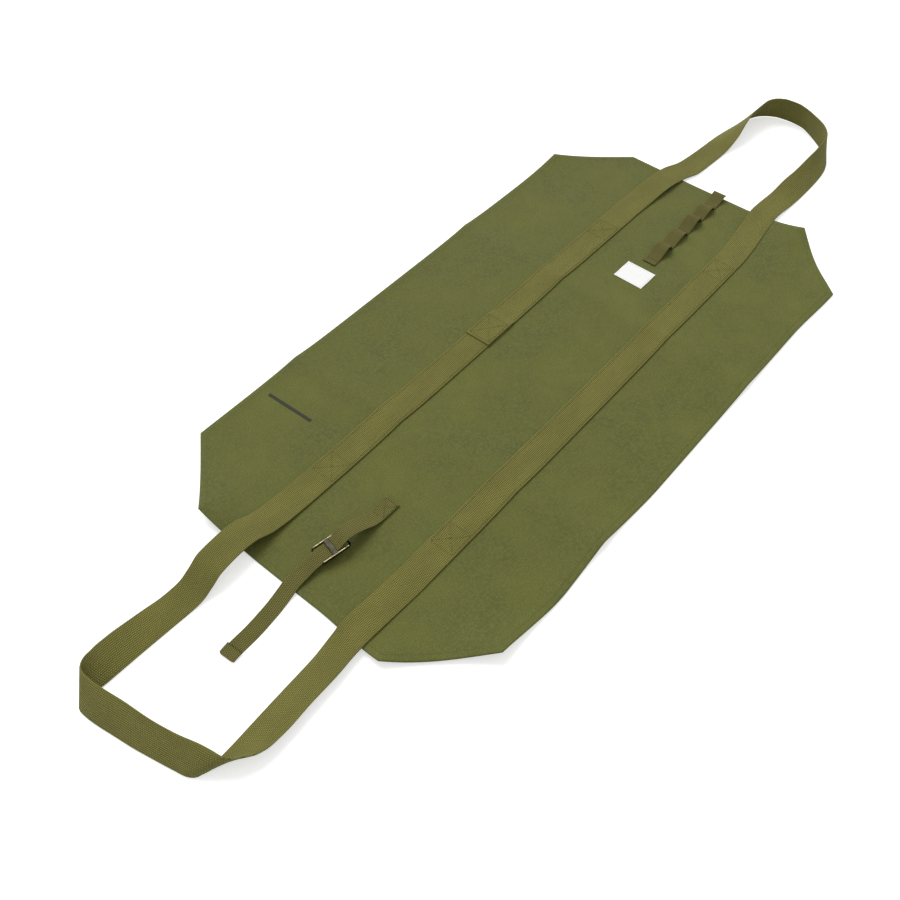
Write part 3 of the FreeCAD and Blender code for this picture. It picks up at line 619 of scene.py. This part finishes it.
# %% Stations of the far loop
FAR_STATIONS = [
    (300, 68.5, 3.3, 300, 106.5, 3.3), (330, 68.5, 3.4, 330, 106.5, 3.4),
    (370, 67, 4.5, 370, 105, 4.5), (410, 64.5, 7.5, 410, 102.5, 7.5),
    (449, 60, 4.5, 449, 98.5, 6.5), (482, 51, 2.5, 482, 89, 4), (516, 49, 1.5, 516, 86, 2),
    (550, 47, 3, 550, 84, 1), (585, 45.5, 15, 585, 81, 1), (612, 48, 28, 612, 76.5, 1),
    (638, 50, 32.5, 638, 71.5, 1), (660, 48.5, 35, 662, 66, 1), (675, 46.5, 36.5, 678, 58, 1),
    (689, 38.5, 37, 690, 45, 1), (698, 22, 37, 697, 30, 1), (699, 5, 37, 699.5, 8, 1),
    (694, -13, 37, 697, -12, 1), (685, -32, 37, 687, -31, 1), (673, -52, 37, 672, -52, 1),
    (662, -63, 36.5, 660, -67, 1), (652, -69, 35.5, 646, -80, 1), (638, -71.5, 34, 630, -89, 1),
    (619, -71.5, 30.5, 612, -94.5, 1), (597, -69, 24.5, 592, -97, 1), (568, -66, 17, 566, -98, 1),
    (538, -61, 10, 540, -98, 1), (504, -59.5, 6, 505, -97, 2), (455, -56.5, 6, 461, -94.5, 5),
    (420, -60, 4, 420, -98, 4), (370, -66, 3.5, 370, -104, 3.5),
    (330, -68.5, 3.3, 330, -106.5, 3.3), (300, -68.5, 3.3, 300, -106.5, 3.3),
]


# %% Sweep the loops
def loop_strip(name, stations, belly_at=None):
    """A carrying loop from its stations."""
    edges = np.array(stations, float).reshape(-1, 2, 3) * MM
    edges[:, :, 1] += RAIL_SHIFT
    steps = np.linalg.norm(np.diff(edges, axis=0), axis=2).mean(axis=1)
    places = np.concatenate([[0], np.cumsum(steps)])
    where = np.linspace(0, places[-1], round(places[-1] / RAIL_STEP) + 1)
    flowing = glide(places, edges.reshape(-1, 6), where)
    inner, outer = flowing[:, :3], flowing[:, 3:]
    for edge in (inner, outer):
        near = np.clip((LOOP_START + 100 * MM - abs(edge[:, 0])) / (70 * MM), 0, 1)
        edge[:, 2] += near * lift(edge[:, 0], edge[:, 1])
    belly = None
    if belly_at:
        at, reach, most = belly_at
        belly = most * np.exp(-((where / places[-1] - at) / reach) ** 2)
    return strip_between(name, inner, outer, RAIL_THICK, WEBBING, start=stations[0][0] * MM,
                         belly=belly)


RIGHT_CORNER = (0.60, 0.04, -2 * MM)
near_loop = loop_strip("near_carrying_loop", NEAR_STATIONS, RIGHT_CORNER)
far_loop = loop_strip("far_carrying_loop", FAR_STATIONS)
print(f"loops: {len(near_loop.data.vertices) + len(far_loop.data.vertices)} points")

# %% [markdown]
# ## Closing strap and slide
# A narrow strap is sewn to the near end. It arches up from its stitching, runs straight down through
# a flat metal slide and lies on the floor past the edge. Its tip is turned back and sewn. The slide
# is a rounded ring, pressed lower at both ends so that the strap lies over them, with a plate across
# its middle that holds the strap down. It sits a little askew on the strap, as slides do.

# %% The strap
STRAP_WIDTH, STRAP_THICK = 20 * MM, 1.4 * MM
SEWN_REACH = 20 * MM
base_low, base_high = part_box("closing_strap_base")
STRAP_HINGE = base_low[0]
STRAP_MIDDLE = (base_low[1] + base_high[1]) / 2
HUMP_AT, HUMP_TOP, LANDING_AT, STRAP_REACH = 36, 15.5, 165, 232
FALL = HUMP_TOP / (LANDING_AT - HUMP_AT)
TIP_LENGTH, STRAP_DROP = 14, 0.5


def straight_stretch(reach, veer):
    """A station of the straight stretch that the slide travels on."""
    return reach, veer, HUMP_TOP - FALL * (reach - HUMP_AT) - STRAP_DROP


# Stations of the strap: reach from its hinge, veer to the side and height of its underside, in mm.
STRAP_LINE = [(-29, 0, 3.5), (-14, 0, 3.7), (-3, 0, 3.8), (9, 0.5, 6.2), (19, 1.6, 10.8),
              (29, 2.8, 15.0), (38, 3.9, 17.8), (46, 5.0, 18.4), (53, 5.8, 17.0), (59, 6.4, 13.8),
              straight_stretch(67, 7.0), straight_stretch(84, 9.4), straight_stretch(102, 11.0),
              straight_stretch(122, 11.0), straight_stretch(128, 10.4),
              (138, 9.0, 2.2), (148, 7.6, 0.8), (160, 5.8, 0.1), (173, 4.3, 0.0), (182, 3.3, 0.0),
              (198, 2.3, 0.0), (217, 2.0, 0.0), (231, 1.0, 0.0)]


def strap_edges(line, on_cloth=True, width=STRAP_WIDTH, step=2.5):
    """Inner and outer edge of the strap along a line of reach, veer and underside."""
    line = np.array(line, float)
    steps = np.hypot(np.diff(line[:, 0]), np.diff(line[:, 2]))
    places = np.concatenate([[0], np.cumsum(steps)])
    where = np.linspace(0, places[-1], round(places[-1] / step) + 1)
    reach, veer, under = glide(places, line, where).T * MM
    x = STRAP_HINGE - reach
    y = STRAP_MIDDLE + veer
    z = under + STRAP_THICK / 2
    if on_cloth:
        sewn = np.clip((SEWN_REACH - reach) / SEWN_REACH, 0, 1)
        z = z + sewn * lift(x, y)
    middle = np.stack([x, y, z], axis=-1)
    ahead = np.gradient(middle, axis=0)
    across = np.stack([-ahead[:, 1], ahead[:, 0], 0 * x], axis=-1)
    across /= np.linalg.norm(across, axis=1)[:, None]
    return middle + across * width / 2, middle - across * width / 2


def round_corners(edges, corner):
    """The same two edges, drawn in over the last few millimetres so that the corners are round."""
    inner, outer = edges
    middle = (inner + outer) / 2
    to_end = np.linalg.norm(middle - middle[-1], axis=1)
    short = np.clip(corner - to_end, 0, corner)
    cut = corner - np.sqrt(corner ** 2 - short ** 2)
    share = 1 - 2 * cut / np.linalg.norm(outer - inner, axis=1)
    return middle + (inner - middle) * share[:, None], middle + (outer - middle) * share[:, None]


strap = strip_between("closing_strap_webbing", *strap_edges(STRAP_LINE), STRAP_THICK, STRAP_WEBBING)
TIP_LINE = [(STRAP_REACH - TIP_LENGTH, 2.0, 1.9), (225, 1.5, 1.5), (STRAP_REACH, 1.0, 1.0)]
TIP_WIDER, TIP_THICK, TIP_CORNER = 1.4 * MM, 2.0 * MM, 3 * MM
tip_edges = strap_edges(TIP_LINE, False, STRAP_WIDTH + TIP_WIDER, 0.5)
tip = strip_between("closing_strap_turned_tip", *round_corners(tip_edges, TIP_CORNER), TIP_THICK,
                    STRAP_WEBBING)
UNDER_LINE = [(-28.5, 0, 2.3), (-14, 0, 2.3), (-5, 0, 2.3)]
under_end = strip_between("closing_strap_turned_end", *strap_edges(UNDER_LINE), STRAP_THICK,
                          STRAP_WEBBING)

# %% The slide: a rounded frame whose ends dip under the strap, and a plate over it
SLIDE_LENGTH, SLIDE_WIDTH, SLIDE_RAIL = 41 * MM, 25.4 * MM, 2.2 * MM
RAIL_FOOT, END_HIGH, PLATE_THICK, BRIDGE_WIDTH = -1.7 * MM, 0.9 * MM, 1.3 * MM, 7 * MM
SLIDE_CORNER, SLIDE_SKEW = 3.5 * MM, math.radians(-8)
slide_low, slide_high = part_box("strap_slide")
SLIDE_VEER, END_SLOPE = 0.10, 2.5 * MM
strap_way = Vector((-1.0, SLIDE_VEER, -FALL)).normalized()
strap_side = Vector((-strap_way.y, strap_way.x, 0)).normalized()
slide_up = strap_way.cross(strap_side)
slide_up = slide_up if slide_up.z > 0 else -slide_up
skew = Matrix.Rotation(SLIDE_SKEW, 3, slide_up)
slide_way, slide_side = skew @ strap_way, skew @ strap_side
slide_middle = (slide_low + slide_high) / 2 - Vector((0, 0, STRAP_DROP * MM))


def slide_points(along, aside, high):
    """Places in the scene, from places in the slide's own directions."""
    own = np.stack(np.broadcast_arrays(along, aside, high), axis=-1).reshape(-1, 3)
    return np.array(slide_middle) + own @ np.array([slide_way, slide_side, slide_up])


def frame_route(half, side, corner, step=1.0 * MM):
    """Even places round a rectangle with round corners, starting at the middle of one side."""
    spots = [(0.0, side)]
    for end, flank, start in ((1, 1, 90), (1, -1, 0), (-1, -1, -90), (-1, 1, -180)):
        for turn in range(0, 91, 15):
            angle = math.radians(start - turn)
            spots.append((end * (half - corner) + corner * math.cos(angle),
                          flank * (side - corner) + corner * math.sin(angle)))
    spots = np.array(spots + [(0.0, side)])
    places = np.concatenate([[0], np.cumsum(np.linalg.norm(np.diff(spots, axis=0), axis=1))])
    where = np.linspace(0, places[-1], round(places[-1] / step) + 1)
    return [np.interp(where, places, column) for column in spots.T]


def join_pieces(name, pieces):
    """Several closed meshes as one piece."""
    work = bmesh.new()
    for piece in pieces:
        work.from_mesh(piece.data)
        bpy.data.objects.remove(piece)
    mesh = bpy.data.meshes.new(name)
    work.to_mesh(mesh)
    work.free()
    mesh.materials.append(BRASS)
    joined = bpy.data.objects.new(name, mesh)
    bpy.context.collection.objects.link(joined)
    return joined


PLATE_MAP_SHARE = 0.5   # keeps the plate's map below the height where the brass gets its rubbed wear and painted highlight


def build_slide():
    """The ring from one route, the plate from a short strip across it."""
    half, side = (SLIDE_LENGTH - SLIDE_RAIL) / 2, (SLIDE_WIDTH - SLIDE_RAIL) / 2
    along, aside = frame_route(half, side, SLIDE_CORNER)
    rise = np.clip((half - np.abs(along)) / END_SLOPE, 0, 1)
    high = END_HIGH + (RAIL_TOP - END_HIGH) * rise * rise * (3 - 2 * rise)
    ring = strip_between("ring", slide_points(along, aside, RAIL_FOOT),
                         slide_points(along, aside, RAIL_FOOT + high), SLIDE_RAIL, BRASS, columns=5)
    across = np.linspace(-side, side, 13)
    level = RAIL_FOOT + RAIL_TOP - PLATE_THICK / 2
    plate = strip_between("plate", slide_points(-BRIDGE_WIDTH / 2, across, level),
                          slide_points(BRIDGE_WIDTH / 2, across, level), PLATE_THICK, BRASS, columns=5)
    layer = plate.data.uv_layers[WEAVE_MAP].uv
    spots = np.empty(2 * len(plate.data.loops), np.float32)
    layer.foreach_get("vector", spots)
    layer.foreach_set("vector", spots * PLATE_MAP_SHARE)
    return join_pieces("slide_frame", [ring, plate])


slide = build_slide()
print("strap and slide ready")

# %% [markdown]
# ## Gear loops and label
# A narrower strap is tacked down at nearly even steps, so that it stands up in five arches. Each arch
# is one wave of the same formula, leaning its own way. The label is a blank white woven patch, a
# little wavy, sewn beside it.

# %% The gear strap
gear_low, gear_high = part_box("gear_loop_strap")
GEAR_THICK, TACK, LAST_TURN = 1.6 * MM, 5 * MM, 2.5 * MM
GEAR_ASIDE = Vector((0, -3 * MM, 0))
gear_low, gear_high = gear_low + GEAR_ASIDE, gear_high + GEAR_ASIDE
TACKS = gear_low[0] + np.array([12, 52, 94, 133, 170, 200]) * MM
ARCHES = len(TACKS) - 1
ARCH_HEIGHTS = np.array([9.0, 6.5, 9.5, 7.0, 6.0]) * MM
ARCH_LEAN = np.array([2.2, 2.0, 2.2, 1.9, 3.2])


def arch_rise(x):
    """How high the strap stands above the cloth at a place along it."""
    number = np.clip(np.searchsorted(TACKS, x, side="right") - 1, 0, ARCHES - 1)
    start, stop = TACKS[number], TACKS[number + 1] - TACK * (number < ARCHES - 1)
    share = np.clip((x - start) / (stop - start), 0, 1)
    return ARCH_HEIGHTS[number] * np.clip(np.sin(math.pi * share ** ARCH_LEAN[number]), 0, 1) ** 0.7


def gear_middle(x, y):
    return cloth_top(x, y) + GEAR_THICK / 2 + arch_rise(x)


gear_edges = lying_edges(np.linspace(gear_low[0], TACKS[-1] - LAST_TURN, 220),
                         (gear_low[1], gear_high[1]), gear_middle)
gear = strip_between("gear_loops", *gear_edges, GEAR_THICK, GEAR_WEBBING)
print(f"{ARCHES} arches up to {ARCH_HEIGHTS.max() * 1000:.1f} mm high")

# %% The label
label_low, label_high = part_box("label_patch")
LABEL_THICK, LABEL_GAP = 0.5 * MM, 0.15 * MM
label_low = label_low - Vector((3.0, 2.0, 0)) * MM
label_high = label_high - Vector((1.5, 1.5, 0)) * MM


def label_middle(x, y):
    return cloth_top(x, y) + LABEL_THICK / 2 + LABEL_GAP + 0.2 * MM * np.sin(260 * x + 60 * y)


label_edges = lying_edges(np.linspace(label_low[0], label_high[0], 26), (label_low[1], label_high[1]),
                          label_middle)
label = strip_between("blank_label", *label_edges, LABEL_THICK, LABEL)
print(f"label {(label_high[0] - label_low[0]) * 1000:.0f} mm long")

# %% [markdown]
# ## Printed bar
# The real sheet carries a small print near one crease. A plain dark bar with no lettering stands in
# that place, as thin as ink, following the cloth.

# %% The bar
BAR_START, BAR_END, BAR_WIDTH = (-269 * MM, 219 * MM), (-266 * MM, 148 * MM), 4.5 * MM


def ink_bar(name, start, end, width):
    share = np.linspace(0, 1, 24)
    x = start[0] + (end[0] - start[0]) * share
    y = start[1] + (end[1] - start[1]) * share
    edges = []
    for side in (-0.5, 0.5):
        place_x = x + side * width
        edges.append(np.stack([place_x, y, cloth_top(place_x, y) + 0.03 * MM], axis=-1))
    return strip_between(name, *edges, 0.12 * MM, INK, columns=3)


bar = ink_bar("printed_bar", BAR_START, BAR_END, BAR_WIDTH)
print(f"bar {BAR_WIDTH * 1000:.1f} mm wide")

# %% [markdown]
# ## Stitching
# Thread holds everything together and is seen all over: along the hem, along both edges of each rail,
# in crossed squares where the loops begin, and across each tack. Every stitch is a small rounded bar
# that dips into the cloth at its ends. A line of them is made from a few corner points.

# %% Stitches along a line
STITCH, STITCH_GAP, THREAD_RADIUS = 3.0 * MM, 0.9 * MM, 0.36 * MM
STITCH_RINGS = [(0.0, 0.35, -0.9), (0.18, 0.9, 0.25), (0.5, 1.0, 0.5), (0.82, 0.9, 0.25), (1.0, 0.35, -0.9)]
AROUND = 6


def stitch_line(corners, surface, length=STITCH, gap=STITCH_GAP, radius=THREAD_RADIUS, up=None):
    """Points and faces of the stitches that follow straight runs between corner points."""
    made = []
    for (x0, y0), (x1, y1) in zip(corners, corners[1:]):
        run = math.hypot(x1 - x0, y1 - y0)
        count = max(1, round(run / (length + gap)))
        pitch = run / count
        for number in range(count):
            first, last = number * pitch + gap / 2, (number + 1) * pitch - gap / 2
            made.append([(x0 + (x1 - x0) * d / run, y0 + (y1 - y0) * d / run) for d in (first, last)])
    ends = np.array(made)
    way = ends[:, 1] - ends[:, 0]
    reach = np.linalg.norm(way, axis=1)[:, None]
    way = way / reach
    rings = []
    for share, thick, high in STITCH_RINGS:
        middle = ends[:, 0] + share * (ends[:, 1] - ends[:, 0])
        z = surface(middle[:, 0], middle[:, 1]) + high * radius
        for number in range(AROUND):
            turn = 2 * math.pi * number / AROUND
            aside = math.cos(turn) * radius * thick
            rings.append(np.stack([middle[:, 0] - way[:, 1] * aside, middle[:, 1] + way[:, 0] * aside,
                                   z + math.sin(turn) * radius * thick], axis=-1))
    points = np.stack(rings, axis=1)
    per = len(STITCH_RINGS) * AROUND
    pattern = tube_faces(len(STITCH_RINGS), AROUND)
    faces = [tuple(number * per + corner for corner in face)
             for number in range(len(ends)) for face in pattern]
    weave = points[:, :, :2].reshape(-1, 2)
    return points.reshape(-1, 3), faces, weave


def sew(name, lines, surface, material=THREAD, **sizes):
    """One piece of thread from several stitched lines."""
    all_points, all_faces, all_weave, base = [], [], [], 0
    for corners in lines:
        points, faces, weave = stitch_line(corners, surface, **sizes)
        all_points.append(points)
        all_weave.append(weave)
        all_faces += [tuple(base + corner for corner in face) for face in faces]
        base += len(points)
    piece = new_piece(name, np.concatenate(all_points), all_faces, np.concatenate(all_weave), material)
    return finish_shape(piece)


def hem_line(end, cut):
    """The octagon's outline, one stitch inset inside, from cut to cut round one end."""
    way = math.copysign(1, end)
    inset = HEM_STITCH_INSET
    lean_x, lean_y = HALF_LENGTH - CORNER_X, HALF_WIDTH - CORNER_Y
    slant = math.hypot(lean_x, lean_y)
    along_side = CORNER_X - inset * (slant - lean_x) / lean_y
    along_end = CORNER_Y - inset * (slant - lean_y) / lean_x
    return [(cut, HALF_WIDTH - inset), (way * along_side, HALF_WIDTH - inset),
            (way * (HALF_LENGTH - inset), along_end), (way * (HALF_LENGTH - inset), -along_end),
            (way * along_side, inset - HALF_WIDTH), (cut, inset - HALF_WIDTH)]


def above(height):
    """A surface a little above the cloth, or below it, for the stitches to lie on."""
    return lambda x, y: cloth_top(x, y) + height


def hem_seam(name, end):
    return pull_corners(sew(name, [hem_line(end, HALVING)], above(-0.3 * MM), HEM_THREAD))


hem_near = hem_seam("hem_stitching_near", -HALF_LENGTH)
hem_far = hem_seam("hem_stitching_far", HALF_LENGTH)
print("hem sewn")


# %% Rail edges, crossed squares and the lap
EDGE_INSET = 3.2 * MM
SQUARE = 34 * MM
SQUARES = {("near", LEFT): -318 * MM, ("near", RIGHT): -305 * MM,
           ("far", LEFT): 286 * MM, ("far", RIGHT): 319 * MM}


def rail_seams(side):
    """The two lines across the sheet on which a rail is sewn, inner and outer."""
    return [RAIL_SHIFT + side * (RAIL_REACH + edge * (RAIL_WIDTH / 2 - EDGE_INSET)) for edge in (-1, 1)]


def frame_lines(first_x, last_x, low, high):
    return [(first_x, low), (first_x, high), (last_x, high), (last_x, low), (first_x, low)]


def crossed_square(first_x, last_x, low, high):
    """A square of stitching with both diagonals, which locks webbing to what lies under it."""
    return [frame_lines(first_x, last_x, low, high),
            [(first_x, low), (last_x, high)], [(first_x, high), (last_x, low)]]


def rail_stitching(name, end_name):
    """Thread on both rails of one half: a crossed square at the loop, then two rows to the middle."""
    lines = []
    for side in (LEFT, RIGHT):
        outer_x = SQUARES[end_name, side]
        inner_x = outer_x - math.copysign(SQUARE, outer_x)
        lines += crossed_square(outer_x, inner_x, *rail_seams(side))
        over_lap = side == LEFT and end_name == "far"
        stop = HALVING + LAP_LENGTH + LAP_RAMP if over_lap else HALVING
        lines += [[(inner_x, y), (stop, y)] for y in rail_seams(side)]
    return sew(name, lines, above(RAIL_THICK))


rails_near = rail_stitching("rail_stitching_near", "near")
rails_far = rail_stitching("rail_stitching_far", "far")
LAP_INSET = 4 * MM
lap_square = crossed_square(HALVING + LAP_INSET, HALVING + LAP_LENGTH - LAP_INSET, *rail_seams(LEFT))
lap_stitching = sew("lap_stitching", lap_square, above(2 * RAIL_THICK))
print("rails sewn")


# %% Strap, gear loops and label
STRAP_SEAM_INSET, TURNED_END_RISE = 1.2 * MM, 1.2 * MM
strap_half = STRAP_WIDTH / 2 - STRAP_SEAM_INSET
strap_square = crossed_square(STRAP_HINGE + 2 * MM, STRAP_HINGE + 26 * MM,
                              STRAP_MIDDLE - strap_half, STRAP_MIDDLE + strap_half)
strap_stitching = sew("strap_stitching", strap_square, above(TURNED_END_RISE + STRAP_THICK),
                      DARK_THREAD_AND_STEP_SHADE, length=1.6 * MM, radius=0.3 * MM)
# A row of dark thread along the inner end of the turned tip stands for the shadow at its step: a painted
# shadow line.
tip_seam = [tuple(edge[1][:2]) for edge in tip_edges]
tip_height = tip_edges[0][1][2] + 0.9 * MM


def tip_top(x, y):
    return tip_height + 0 * x


tip_shade_stitching = sew("strap_tip_shade_stitching", [tip_seam], tip_top, DARK_THREAD_AND_STEP_SHADE,
                    length=2.6 * MM, gap=0.2 * MM, radius=0.5 * MM)


def gear_top(x, y):
    return gear_middle(x, y) + GEAR_THICK / 2


tack_rows = [tack - TACK / 2 + step * MM for tack in TACKS[:-1] for step in (-1.4, 0.0, 1.4)]
tack_lines = [[(x, gear_low[1] + MM), (x, gear_high[1] - MM)] for x in tack_rows]
gear_stitching = sew("gear_loop_tacks", tack_lines, gear_top, length=2.2 * MM, gap=0.3 * MM,
                     radius=0.34 * MM)
LABEL_INSET = 2 * MM
left_x, right_x = label_low[0] + LABEL_INSET, label_high[0] - LABEL_INSET
low_y, high_y = label_low[1] + LABEL_INSET, label_high[1] - LABEL_INSET
around_label = [(left_x, low_y), (right_x, low_y), (right_x, high_y), (left_x, high_y), (left_x, low_y)]
label_stitching = sew("label_stitching", [around_label], above(LABEL_THICK + LABEL_GAP), LABEL_THREAD,
                      length=2.0 * MM, gap=0.7 * MM, radius=0.22 * MM)
print("small parts sewn")

# %% [markdown]
# ## What each piece moves with
# The sheet folds at its two creases, the loops swing at the ends of the sheet and the strap flips at
# its stitching. The strap's tip, the slide, the gear loops, the label, the printed bar and some of the
# stitching are attached to the body they move with; the other pieces stay where they are made.


def bend_at_crease(piece, near):
    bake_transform(piece)


for piece, near, slot, nodes in (
        (near_canvas, True, "canvas", ["near_canvas_panel", "middle_canvas_panel"]),
        (far_canvas, False, "canvas", ["far_canvas_panel"]),
        (hem_near, True, "canvas", []), (hem_far, False, "canvas", []),
        (rails_near, True, "webbing", []), (rails_far, False, "webbing", []),
        (left_near, True, "webbing", ["left_rail_near", "left_rail_middle"]),
        (left_far, False, "webbing", ["left_rail_lap", "left_rail_far"]),
        (right_near, True, "webbing", ["right_rail_near", "right_rail_middle"]),
        (right_far, False, "webbing", ["right_rail_far"])):
    bend_at_crease(piece, near)
    if nodes:
        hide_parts(*nodes)

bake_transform(near_loop)
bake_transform(far_loop)
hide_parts("near_carry_loop")
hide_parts("far_carry_loop")
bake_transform(strap)
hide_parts("closing_strap_base", "closing_strap")
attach(tip, "strap")
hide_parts("closing_strap_tip")
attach(slide, "slide")
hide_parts("strap_slide")
for piece, body, slot in ((gear, "far_panel", "gear_webbing"), (label, "far_panel", "label"),
                          (gear_stitching, "far_panel", "gear_webbing"),
                          (label_stitching, "far_panel", "label"),
                          (strap_stitching, "near_panel", "strap_webbing"),
                          (under_end, "near_panel", "strap_webbing"),
                          (tip_shade_stitching, "strap", "strap_webbing"),
                          (lap_stitching, "middle_panel", "webbing"),
                          (bar, "near_panel", "canvas")):
    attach(piece, body)
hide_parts("gear_loop_strap")
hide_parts("label_patch")

# %% [markdown]
# ## Floor, light and camera
# The carrier lies on a plain pale floor. One large soft lamp stands behind and to the left, and an
# even sky fills the shadows, so that colours come out about as they are written.

# %% Floor and sky
SKY, FLOOR_GLOW, FLOOR_HALF, FLOOR_GREY = 0.52, 0.52, 6.0, 0.9


def math_node(tree, operation, first, second):
    """One sum on a tree: the first is wired, the second is wired or set."""
    node = tree.nodes.new("ShaderNodeMath")
    node.operation = operation
    tree.links.new(first, node.inputs[0])
    if isinstance(second, bpy.types.NodeSocket):
        tree.links.new(second, node.inputs[1])
    else:
        node.inputs[1].default_value = second
    return node.outputs[0]


def seen_directly(tree):
    """One where a surface is seen straight, in a mirror or through glass, and nothing elsewhere."""
    rays = tree.nodes.new("ShaderNodeLightPath").outputs
    mirrored = math_node(tree, "MAXIMUM", rays["Is Camera Ray"], rays["Is Glossy Ray"])
    return math_node(tree, "MAXIMUM", mirrored, rays["Is Transmission Ray"])


def pale_floor():
    """A plain pale floor, a little brighter to the eye than the light alone would make it."""
    mesh = bpy.data.meshes.new("floor")
    corners = [(x * FLOOR_HALF, y * FLOOR_HALF, 0) for x, y in ((-1, -1), (1, -1), (1, 1), (-1, 1))]
    mesh.from_pydata(corners, [], [(0, 1, 2, 3)])
    floor = bpy.data.objects.new("floor", mesh)
    bpy.context.collection.objects.link(floor)
    paint = bpy.data.materials.new("pale_floor")
    paint.use_nodes = True
    tree = paint.node_tree
    shader = tree.nodes["Principled BSDF"]
    shader.inputs["Base Color"].default_value = (FLOOR_GREY, FLOOR_GREY, FLOOR_GREY, 1)
    shader.inputs["Roughness"].default_value = 0.9
    shader.inputs["Specular IOR Level"].default_value = 0.1
    shader.inputs["Emission Color"].default_value = (1, 1, 1, 1)
    glow = math_node(tree, "MULTIPLY", seen_directly(tree), FLOOR_GLOW)
    tree.links.new(glow, shader.inputs["Emission Strength"])
    mesh.materials.append(paint)
    return floor


def even_sky():
    """A sky that lights evenly, and looks white."""
    world = bpy.data.worlds.new("even_sky")
    world.use_nodes = True
    tree = world.node_tree
    sky = tree.nodes["Background"]
    sky.inputs["Color"].default_value = (1, 1, 1, 1)
    tree.links.new(math_node(tree, "MAXIMUM", seen_directly(tree), SKY), sky.inputs["Strength"])
    return world


pale_floor()
bpy.context.scene.world = even_sky()
print(f"sky {SKY}, floor glow {FLOOR_GLOW}")

# %% Lamp
LAMP_FROM = Vector((0.40, 0.9, 1.2))
LAMP_SPREAD, LAMP_POWER = math.radians(40), 1.80


def broad_lamp(name, where_from, spread, power):
    """Light that comes evenly from one side, as from a large window far off."""
    data = bpy.data.lights.new(name, "SUN")
    data.angle, data.energy = spread, power
    lamp = bpy.data.objects.new(name, data)
    lamp.location = where_from
    lamp.rotation_mode = "QUATERNION"
    lamp.rotation_quaternion = where_from.to_track_quat("Z", "Y")
    bpy.context.collection.objects.link(lamp)
    return lamp


broad_lamp("window_light", LAMP_FROM, LAMP_SPREAD, LAMP_POWER)

# %% Camera
CAMERA_PLACE, CAMERA_AIM = Vector((-0.7726, -0.4919, 0.9626)), Vector((-0.1880, -0.0120, 0.0))
CAMERA_ROLL, CAMERA_LENS = math.radians(0.65), 40.18
camera_data = bpy.data.cameras.new("camera")
camera_data.lens, camera_data.sensor_width = CAMERA_LENS, 36.0
camera = bpy.data.objects.new("camera", camera_data)
bpy.context.collection.objects.link(camera)
look = (CAMERA_AIM - CAMERA_PLACE).to_track_quat("-Z", "Y").to_matrix().to_4x4()
camera.matrix_world = Matrix.Translation(CAMERA_PLACE) @ look @ Matrix.Rotation(CAMERA_ROLL, 4, "Z")
bpy.context.scene.camera = camera
bpy.context.scene.view_settings.view_transform = "Standard"
print("camera", [round(value, 4) for value in camera.matrix_world.col[0]])
